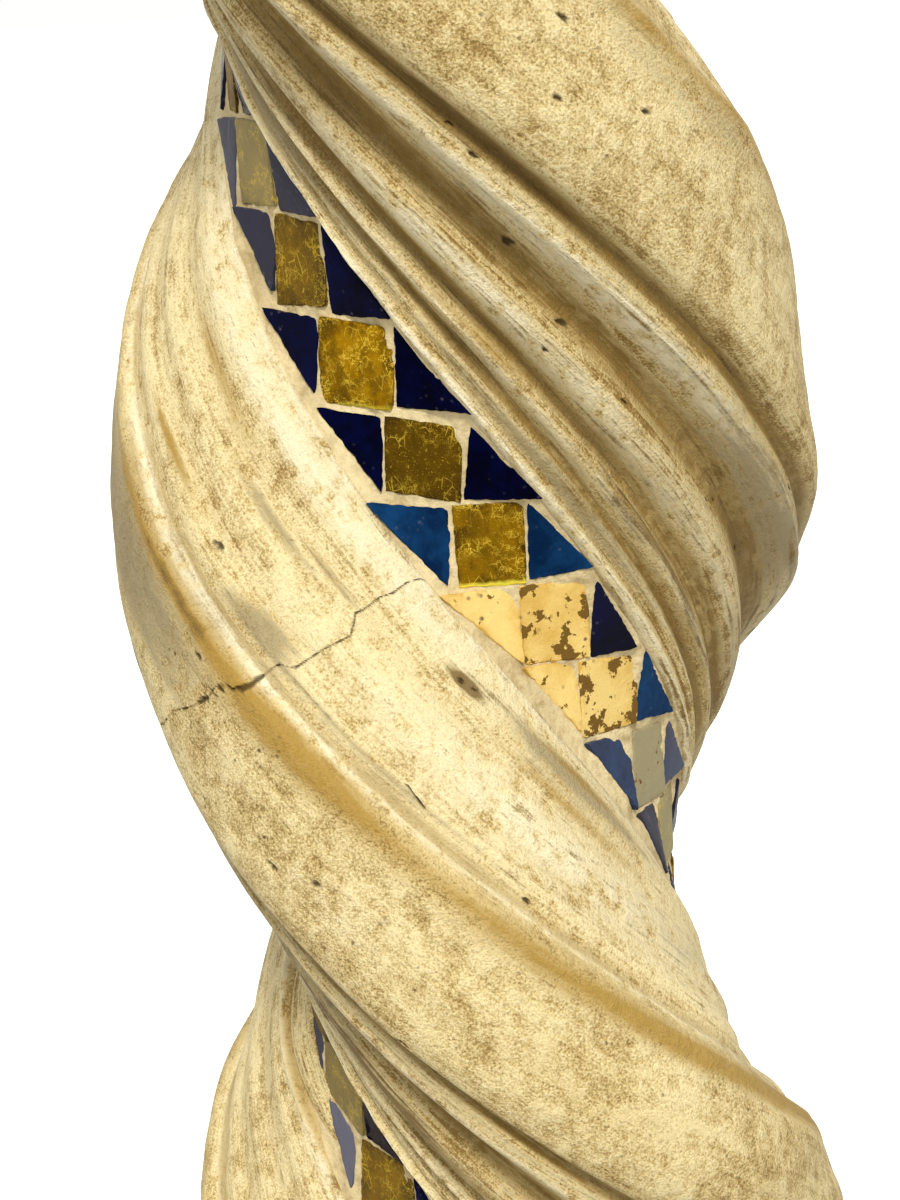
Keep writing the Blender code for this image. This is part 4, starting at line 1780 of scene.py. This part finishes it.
SEEN: dict[tuple[Groove, int], dict[Place, SeenTile]] = {
    (Groove.A, 5): {
        Place.RIGHT: SeenTile(Slot.DEEP_BLUE, ((8.3, -9.2), (23.7, -8.9), (8.8, 8.8)), 0.30),
    },
    (Groove.A, 4): {
        Place.LEFT: SeenTile(Slot.DEEP_BLUE, ((-9.2, -8.7), (-10.0, 9.7), (-22.0, 9.4)), 0.60),
        Place.SQUARE: SeenTile(
            Slot.GOLD, ((-8.6, -7.9), (7.9, -7.5), (8.6, 9.1), (-7.5, 9.8)), 0.60, dust=0.60),
        Place.RIGHT: SeenTile(Slot.DEEP_BLUE, ((8.7, -8.6), (24.4, -9.1), (10.6, 9.5)), 0.34),
    },
    (Groove.A, 3): {
        Place.LEFT: SeenTile(Slot.DEEP_BLUE, ((-7.5, -5.5), (-6.6, 10.3), (-21.6, 11.4)), 0.26),
        Place.SQUARE: SeenTile(
            Slot.GOLD, ((-6.9, -8.3), (7.7, -8.0), (9.2, 8.6), (-5.4, 10.5)), 0.35, dust=0.05),
        Place.RIGHT: SeenTile(Slot.DEEP_BLUE, ((8.4, -9.8), (24.2, -10.0), (10.5, 9.5)), 0.02),
    },
    (Groove.A, 2): {
        Place.LEFT: SeenTile(Slot.DEEP_BLUE, ((-9.3, -6.3), (-8.4, 9.0), (-22.6, 11.0)), 0.02),
        Place.SQUARE: SeenTile(
            Slot.GOLD, ((-8.6, -8.3), (8.0, -9.6), (10.2, 7.3), (-7.3, 9.5)), 0.84, 0.35),
        Place.RIGHT: SeenTile(Slot.DEEP_BLUE, ((9.0, -9.2), (27.6, -10.4), (11.2, 8.6)), 0.0),
    },
    (Groove.A, 1): {
        Place.LEFT: SeenTile(Slot.DEEP_BLUE, ((-8.4, -6.7), (-7.5, 8.4), (-21.7, 10.8)), 0.0),
        Place.SQUARE: SeenTile(Slot.GOLD, ((-7.5, -6.8), (7.9, -9.6), (9.2, 6.1), (-6.6, 8.8)), 0.08),
        Place.RIGHT: SeenTile(Slot.DEEP_BLUE, ((8.7, -9.5), (25.7, -9.7), (11.4, 6.5)), 0.0),
    },
    (Groove.A, 0): {
        Place.LEFT: SeenTile(Slot.BRIGHT_BLUE, ((-9.1, -7.4), (-7.6, 8.6), (-24.8, 11.2)), 0.0),
        Place.SQUARE: SeenTile(Slot.GOLD, ((-6.5, -8.2), (7.5, -8.6), (7.9, 9.0), (-6.9, 9.4)), 0.45, 0.9),
        Place.RIGHT: SeenTile(Slot.BRIGHT_BLUE, ((8.6, -8.3), (22.4, -7.0), (8.6, 9.0)), 0.0),
    },
    (Groove.A, -1): {
        Place.LEFT: SeenTile(Slot.WORN, ((-7.7, -6.3), (-7.2, 10.3), (-24.2, 10.8)), 0.05),
        Place.SQUARE: SeenTile(Slot.WORN, ((-7.0, -6.8), (8.6, -7.9), (8.7, 9.5), (-7.0, 10.3)), 0.85),
        Place.RIGHT: SeenTile(Slot.DEEP_BLUE, ((9.4, -8.6), (21.2, -8.7), (10.2, 9.3)), 0.05),
    },
    (Groove.A, -2): {
        Place.LEFT: SeenTile(Slot.WORN, ((-8.6, -4.3), (-7.3, 11.0), (-20.9, 12.7)), 0.15),
        Place.SQUARE: SeenTile(Slot.WORN, ((-7.6, -6.2), (9.1, -7.3), (9.9, 8.5), (-7.2, 10.9)), 0.85),
        Place.RIGHT: SeenTile(Slot.BRIGHT_BLUE, ((9.9, -7.6), (22.7, -9.0), (11.1, 9.5)), 0.04),
    },
    (Groove.A, -3): {
        Place.LEFT: SeenTile(Slot.BRIGHT_BLUE, ((-6.8, -7.5), (-5.9, 10.2), (-20.7, 12.7)), 0.25),
        Place.SQUARE: SeenTile(
            Slot.WORN, ((-5.5, -8.1), (9.6, -9.2), (8.1, 8.3), (-5.1, 10.2)), 0.1, dust=0.85),
        Place.RIGHT: SeenTile(Slot.BRIGHT_BLUE, ((10.5, -9.2), (22.9, -8.3), (9.7, 8.3)), 0.50),
    },
    (Groove.B, -6): {
        Place.SQUARE: SeenTile(
            Slot.GOLD, ((-7.2, -5.6), (7.2, -6.4), (7.2, 8.8), (-7.2, 8.8)), 0.1, dust=0.15),
    },
    (Groove.B, -7): {
        Place.LEFT: SeenTile(Slot.DEEP_BLUE, ((-8.4, -5.0), (-7.0, 10.0), (-14.0, 11.0)), 0.50, lift=3.8),
        Place.SQUARE: SeenTile(
            Slot.GOLD, ((-7.0, -4.2), (9.6, -9.9), (11.6, 8.0), (-5.2, 9.6)), 0.30, dust=0.45, lift=3.8),
        Place.RIGHT: SeenTile(Slot.DEEP_BLUE, ((9.0, -11.0), (24.6, -11.4), (13.4, 6.2)), 0.0, lift=3.8),
    },
    (Groove.B, -8): {
        Place.LEFT: SeenTile(Slot.BRIGHT_BLUE, ((-7.4, 7.6), (-18.8, 14.8), (-8.8, -5.6)), 0.85, lift=3.8),
        Place.SQUARE: SeenTile(
            Slot.GOLD, ((-4.8, 8.2), (-7.0, -12.5), (10.2, -12.3), (10.8, 5.4)), 0.40, dust=0.06, lift=3.8),
        Place.RIGHT: SeenTile(Slot.DEEP_BLUE, ((11.8, 4.1), (10.8, -12.6), (20.8, -11.6)), 0.0, lift=3.8),
    },
    (Groove.A, -4): {
        Place.LEFT: SeenTile(Slot.DEEP_BLUE, ((-19.0, 10.6), (-7.6, 9.6), (-8.6, -8.0)), 0.30),
        # Heavy dust here, which also stands in for the pale sky reflected by its broken edge: partly a painted
        # reflection.
        Place.SQUARE: SeenTile(
            Slot.GOLD, ((-7.0, 8.8), (7.4, 8.6), (7.2, -8.6), (-7.2, -8.4)), 0.10, dust=0.90),
    },
}


@dataclass
class MortarBed:
    """The mortar in one groove: its face follows the tiles and fills their joints."""

    groove: Groove
    rows: TileRow
    depth: float = 0.0060
    half_width: float = 0.0180
    start: float = 0.0853
    end: float = 0.9147
    sink: float = 0.00055
    across: int = 46
    raised: tuple[int, int] = (-8, -7)
    lift: float = 0.0
    fine: tuple[float, float] = (0.350, 0.655)
    fine_step: float = 0.0010
    coarse_step: float = 0.0030
    face_wear: tuple[Unevenness, Unevenness] = (
        Unevenness(71, 90, 130, 0.00022), Unevenness(72, 260, 420, 0.00020),
    )
    rim_start: float = 0.0024
    rim_width: float = 0.0020
    rim_sink: float = 0.0004
    rim_wear: Unevenness = Unevenness(73, 80, 160, 0.0004)
    turn_distance: float = 0.045

    def _heights(self) -> np.ndarray:
        """Heights of the bed's rings.

        Returns:
            Heights in metres.
        """
        low, high = self.fine
        return np.concatenate([
            np.arange(self.start, low, self.coarse_step),
            np.arange(low, high, self.fine_step),
            np.arange(high, self.end, self.coarse_step),
            [self.end],
        ])

    def _levels(self, offset: np.ndarray, height: np.ndarray) -> np.ndarray:
        """Distance of the mortar's face from the axis, over the whole bed.

        Args:
            offset: Places along the band's chord, one for each column.
            height: Heights, one for each ring.

        Returns:
            A distance for each ring and column.
        """
        rows, twist = self.rows, self.rows.twist
        distance = rows.section.band_distance
        along, up = np.meshgrid(offset, height)
        levels = np.full(along.shape, distance - self.sink)
        low, high = (rows.height(row) + self.lift for row in self.raised)
        raised = (up > low - rows.pitch / 2) & (up < high + rows.pitch / 2)
        base = rows.height(0) + np.where(raised, self.lift, 0.0)
        count = np.clip(np.round((up - base) / rows.pitch), rows.lowest, rows.highest).astype(int)
        rise = up - (base + count * rows.pitch)
        turn = twist.slope() * rise
        sideways = distance * np.sin(turn) + along * np.cos(turn)
        limit = rows.square_width / 2 + rows.joint / 2
        for place in Place:
            if place is Place.SQUARE:
                here = np.abs(sideways) <= limit
            elif place is Place.LEFT:
                here = sideways < -limit
            else:
                here = sideways > limit
            plane = rows.plane(0.0, *rows.middle(place))
            facing = plane.col[2].to_3d()
            point = plane.translation
            outward = facing.x * np.cos(turn) + facing.y * np.sin(turn)
            level = facing.y * np.cos(turn) - facing.x * np.sin(turn)
            flat = facing.dot(point) - facing.z * rise - along * level
            levels = np.where(here, flat / outward - self.sink, levels)
        for _ in range(2):
            padded = np.pad(levels, 1, mode="edge")
            levels = (padded[:-2, 1:-1] + padded[2:, 1:-1] + padded[1:-1, :-2] + padded[1:-1, 2:]
                      + 2 * padded[1:-1, 1:-1]) / 6
        return levels

    def build(self, tree: bpy.types.GeometryNodeTree, finish: bpy.types.Material) -> bpy.types.Object:
        """Builds the bed.

        Args:
            tree: The twist tree.
            finish: The mortar.

        Returns:
            The finished piece.
        """
        height = self._heights()
        offset = np.linspace(-self.half_width, self.half_width, self.across)
        levels = self._levels(offset, height)
        along, up = np.meshgrid(offset, height)
        turn = along / self.turn_distance + self.groove.value
        levels += sum(field.at(turn, up) for field in self.face_wear)
        rim = eased((np.abs(along) - (self.half_width - self.rim_start)) / self.rim_width)
        edge = self.rows.section.band_distance - self.rim_sink + self.rim_wear.at(turn, up)
        levels = levels + (edge - levels) * rim
        top = np.stack([levels, along, up], axis=2)
        floor = self.rows.section.band_distance - self.depth
        low = [np.stack([np.full(len(height), floor), np.full(len(height), x), height], axis=1)[:, None]
               for x in (self.half_width, -self.half_width)]
        rings = np.concatenate([top, *low], axis=1)
        count = rings.shape[1]
        points = rings.reshape(-1, 3)
        ring = np.arange(len(height) - 1)[:, None] * count
        column = np.arange(count)[None, :]
        first = (ring + column).ravel()
        second = (ring + (column + 1) % count).ravel()
        faces = np.stack([first, second, second + count, first + count], axis=1).tolist()
        faces.append(list(reversed(range(count))))
        faces.append(list(range(len(points) - count, len(points))))
        mesh = bpy.data.meshes.new("mortar")
        mesh.from_pydata(points.tolist(), [], faces)
        mesh.shade_smooth()
        made = place_mesh("lime_mortar_" + self.groove.key, mesh)
        grow(made, tree, {**self.rows.twist.inputs(self.groove), "Finish": finish})
        made.data.set_sharp_from_angle(angle=radians(60.0))
        return settle(made, Slot.MORTAR, "mortar_bed_" + self.groove.key)


@dataclass
class Tesserae:
    """The glass and worn tiles of one band."""

    groove: Groove
    rows: TileRow
    finishes: Finishes
    separate: tuple[int, int]
    worn: tuple[int, ...] = ()
    bright: tuple[int, ...] = ()
    jitter: float = 0.006
    shape: TileShape = TileShape()

    def _usual(self, count: int, place: Place) -> SeenTile:
        """A tile that the picture doesn't show, by the pattern of its band.

        Args:
            count: Its row.
            place: Its place in the row.

        Returns:
            The tile.
        """
        corners = tuple((x / MM, y / MM) for x, y in self.rows.outlines()[place])
        if count in self.worn and place is not Place.RIGHT:
            return SeenTile(Slot.WORN, corners, 0.6)
        if place is Place.SQUARE:
            return SeenTile(Slot.GOLD, corners, 0.25 + 0.15 * (count % 4))
        if count in self.bright:
            return SeenTile(Slot.BRIGHT_BLUE, corners, 0.0)
        return SeenTile(Slot.DEEP_BLUE, corners, 0.03 + 0.05 * (count % 3))

    def _separate_tile(self, count: int, place: Place) -> None:
        """Builds one tile that is a node of its own.

        Args:
            count: Its row.
            place: Its place in the row.
        """
        seen = SEEN.get((self.groove, count), {}).get(place) or self._usual(count, place)
        across, up = self.rows.middle(place)
        corners = tuple((x * MM - across, y * MM - up) for x, y in seen.corners)
        number = self.rows.mid_number + count
        label = "%s_row%02d_%s" % (self.groove.key, number, place.value)
        seed = (1500 if self.groove is Groove.B else 1000) + number * 10 + list(Place).index(place)
        mesh = self.shape.mesh("tessera_" + label, corners, seed, seen.tone, None, seen.glow, seen.dust)
        mesh.transform(self.rows.frame(self.groove, count, place, seen.lift * MM))
        mesh.materials.append(self.finishes.made[seen.slot])
        settle(place_mesh("tessera_" + label, mesh), seen.slot, "tile_" + label)

    def _prototypes(self, slot: Slot) -> bpy.types.Collection:
        """Makes the patterns of a row's tiles that the row tree picks from.

        Args:
            slot: Gold squares, or blue triangles on both sides.

        Returns:
            A collection of three patterns.
        """
        home = bpy.data.collections.new("patterns_" + slot.value)
        bpy.context.scene.collection.children.link(home)
        places = (Place.SQUARE,) if slot is Slot.GOLD else (Place.LEFT, Place.RIGHT)
        for variant in range(3):
            shape = bmesh.new()
            for place in places:
                across, up = self.rows.middle(place)
                corners = tuple((x - across, y - up) for x, y in self.rows.outlines()[place])
                seed = 300 + variant * 7 + list(Place).index(place)
                tone = (0.25, 0.55, 0.8)[variant] if slot is Slot.GOLD else (0.03, 0.08, 0.16)[variant]
                part = self.shape.mesh("pattern", corners, seed, tone, step=0.0040)
                part.transform(self.rows.plane(0.0, across, up))
                shape.from_mesh(part)
                bpy.data.meshes.remove(part)
            mesh = bpy.data.meshes.new("pattern_%s_%d" % (slot.value, variant))
            shape.to_mesh(mesh)
            shape.free()
            home.objects.link(bpy.data.objects.new(mesh.name, mesh))
        return home

    def _run(self, tree: bpy.types.GeometryNodeTree, home: bpy.types.Collection, slot: Slot,
             first: int, last: int, label: str) -> None:
        """Builds the tiles of one kind over a run of rows.

        Args:
            tree: The row tree.
            home: The patterns.
            slot: The tiles' material slot.
            first: Lowest row of the run.
            last: Highest row of the run.
            label: Name of the run.
        """
        name = "tesserae_%s_%s_%s" % (self.groove.key, label, slot.value)
        made = place_mesh(name, bpy.data.meshes.new("run"))
        grow(made, tree, {
            **self.rows.twist.inputs(self.groove),
            "Patterns": home,
            "Rows": last - first + 1,
            "First height": self.rows.height(first),
            "Row pitch": self.rows.pitch,
            "Jitter": self.jitter,
            "Seed": (135 if self.groove is Groove.B else 95) + first,
            "Finish": self.finishes.made[slot],
        })
        settle(made, slot, "mortar_bed_" + self.groove.key)

    def build(self, tree: bpy.types.GeometryNodeTree) -> None:
        """Builds every tile of the band.

        Args:
            tree: The row tree.
        """
        first, last = self.separate
        for count in range(first, last + 1):
            for place in Place:
                self._separate_tile(count, place)
        for slot in (Slot.GOLD, Slot.DEEP_BLUE):
            home = self._prototypes(slot)
            self._run(tree, home, slot, self.rows.lowest, first - 1, "lower")
            self._run(tree, home, slot, last + 1, self.rows.highest, "upper")
            for pattern in list(home.objects):
                bpy.data.objects.remove(pattern, do_unlink=True)
            bpy.data.collections.remove(home)

    @staticmethod
    def tree() -> bpy.types.GeometryNodeTree:
        """Makes the tree that sets rows of tiles up the twisted band.

        Returns:
            The tree.
        """
        graph, entry = start_geometry("tile rows", {
            "Patterns": "Collection", "Rows": "Int", "First height": "Float", "Row pitch": "Float",
            "Jitter": "Float", "Seed": "Int",
        })
        low = graph.node("ShaderNodeCombineXYZ")
        graph.put(low, "Z", entry.outputs["First height"])
        rise = graph.node("ShaderNodeCombineXYZ")
        graph.put(rise, "Z", entry.outputs["Row pitch"])
        line = graph.node("GeometryNodeMeshLine", mode="OFFSET")
        graph.put(line, "Count", entry.outputs["Rows"])
        graph.put(line, "Start Location", low.outputs[0])
        graph.put(line, "Offset", rise.outputs[0])
        patterns = graph.node("GeometryNodeCollectionInfo")
        graph.put(patterns, "Collection", entry.outputs["Patterns"])
        graph.put(patterns, "Separate Children", True)
        pick = graph.node("FunctionNodeRandomValue", data_type="INT")
        graph.put(pick, "Min_002", 0)
        graph.put(pick, "Max_002", 2)
        graph.put(pick, "Seed", entry.outputs["Seed"])
        shake = graph.node("FunctionNodeRandomValue", data_type="FLOAT_VECTOR")
        graph.put(shake, "Min", (-1.0, -1.0, -1.0))
        graph.put(shake, "Max", (1.0, 1.0, 1.0))
        graph.put(shake, "Seed", entry.outputs["Seed"])
        jitter = graph.node("ShaderNodeVectorMath", operation="SCALE")
        graph.put(jitter, "Vector", shake.outputs[0])
        graph.put(jitter, "Scale", entry.outputs["Jitter"])
        position = graph.node("GeometryNodeInputPosition").outputs[0]
        about = graph.node("ShaderNodeCombineXYZ")
        graph.put(about, "Z", Twist.turned(graph, position, entry))
        turn = graph.node("ShaderNodeVectorMath", operation="ADD")
        graph.tree.links.new(about.outputs[0], turn.inputs[0])
        graph.tree.links.new(jitter.outputs[0], turn.inputs[1])
        placed = graph.node("GeometryNodeInstanceOnPoints")
        graph.put(placed, "Points", line.outputs[0])
        graph.put(placed, "Instance", patterns.outputs[0])
        graph.put(placed, "Pick Instance", True)
        picked = next(s for s in pick.outputs if s.enabled)
        graph.put(placed, "Instance Index", picked)
        graph.put(placed, "Rotation", turn.outputs[0])
        end_geometry(graph, placed.outputs[0], entry)
        return graph.tree


@dataclass(frozen=True)
class Studio:
    """The pale floor, the soft light and the camera."""

    camera_place: tuple[float, float, float] = (0.0, -0.470, 0.6264)
    camera_down: float = 0.2871
    camera_yaw: float = -0.0094
    camera_roll: float = -0.0651
    lens: float = 63.09
    floor_radius: float = 60.0
    floor_colour: Colour = (0.94, 0.94, 0.93)
    floor_lift: Colour = (0.45, 0.45, 0.44)
    floor_glow: Colour = (0.42, 0.42, 0.42)
    horizon_colour: Colour = (1.00, 1.00, 0.99)
    sky_colour: Colour = (0.77, 0.77, 0.76)
    horizon_height: float = 0.14
    sun_from: tuple[float, float, float] = (0.04, -0.71, 0.73)
    sun_strength: float = 2.75
    sun_softness: float = radians(13.0)

    def camera(self) -> None:
        """Sets up the camera where the picture was taken from."""
        down, yaw, roll = self.camera_down, self.camera_yaw, self.camera_roll
        ahead = Vector((sin(yaw) * cos(down), cos(yaw) * cos(down), -sin(down)))
        level = Vector((cos(yaw), -sin(yaw), 0.0))
        upward = level.cross(ahead)
        right = level * cos(roll) + upward * sin(roll)
        above = upward * cos(roll) - level * sin(roll)
        data = bpy.data.cameras.new("camera")
        data.lens = self.lens
        data.sensor_width = 36.0
        data.clip_start = 0.02
        data.clip_end = 200.0
        made = bpy.data.objects.new("camera", data)
        facing = Matrix((right, above, -ahead)).transposed().to_4x4()
        made.matrix_world = Matrix.Translation(self.camera_place) @ facing
        bpy.context.scene.collection.objects.link(made)
        bpy.context.scene.camera = made

    def floor(self) -> None:
        """Lays the pale floor, which throws little light back up."""
        material, graph, shader = new_material("floor")
        seen = graph.node("ShaderNodeLightPath").outputs["Is Camera Ray"]
        graph.put(shader, "Base Color", graph.mix(seen, self.floor_glow, self.floor_colour))
        graph.put(shader, "Emission Color", graph.mix(seen, (0.0, 0.0, 0.0), self.floor_lift))
        graph.put(shader, "Emission Strength", 1.0)
        graph.put(shader, "Roughness", 0.9)
        graph.put(shader, "Specular IOR Level", 0.1)
        shape = bmesh.new()
        bmesh.ops.create_circle(shape, cap_ends=True, radius=self.floor_radius, segments=96)
        mesh = bpy.data.meshes.new("floor")
        shape.to_mesh(mesh)
        shape.free()
        mesh.materials.append(material)
        made = bpy.data.objects.new("floor", mesh)
        bpy.context.scene.collection.objects.link(made)

    def light(self) -> None:
        """Sets up a sky that is pale above the floor and dimmer overhead, and one large soft light."""
        world = bpy.data.worlds.new("studio")
        world.use_nodes = True
        graph = Graph(world.node_tree)
        way = graph.node("ShaderNodeSeparateXYZ")
        graph.put(way, "Vector", graph.node("ShaderNodeTexCoord").outputs["Generated"])
        rise = graph.stretch(way.outputs["Z"], 0.02, self.horizon_height)
        colour = graph.mix(rise, self.horizon_colour, self.sky_colour)
        graph.put(world.node_tree.nodes["Background"], "Color", colour)
        bpy.context.scene.world = world
        bpy.context.scene.view_settings.view_transform = "Standard"
        data = bpy.data.lights.new("key", "SUN")
        data.energy = self.sun_strength
        data.angle = self.sun_softness
        data.color = (1.0, 0.97, 0.91)
        made = bpy.data.objects.new("key", data)
        made.rotation_mode = "QUATERNION"
        made.rotation_quaternion = Vector(self.sun_from).to_track_quat("Z", "Y")
        made.location = (-1.0, -1.0, 2.0)
        bpy.context.scene.collection.objects.link(made)

    def build(self) -> None:
        """Builds the studio."""
        self.floor()
        self.light()
        self.camera()


def main() -> None:
    """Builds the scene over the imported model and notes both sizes."""
    logging.basicConfig(level=logging.INFO, format="%(name)s %(message)s")
    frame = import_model()
    LOG.info("the model has %d nodes", len(frame["nodes"]))
    twist, section = Twist(), Section()
    rows = TileRow(twist, section)
    finishes = Finishes()
    finishes.build()
    twist_tree, row_tree = twist.tree(), Tesserae.tree()
    Shaft(twist, section).build(twist_tree, finishes.made[Slot.MARBLE])
    for groove, separate, worn, bright, lift in (
        (Groove.A, (-6, 6), (-2, -1), (0,), 0.0),
        (Groove.B, (-10, -5), (), (-8,), 0.0038),
    ):
        MortarBed(groove, rows, lift=lift).build(twist_tree, finishes.made[Slot.MORTAR])
        Tesserae(groove, rows, finishes, separate, worn, bright).build(row_tree)
    Studio().build()


if __name__ == "__main__":
    main()
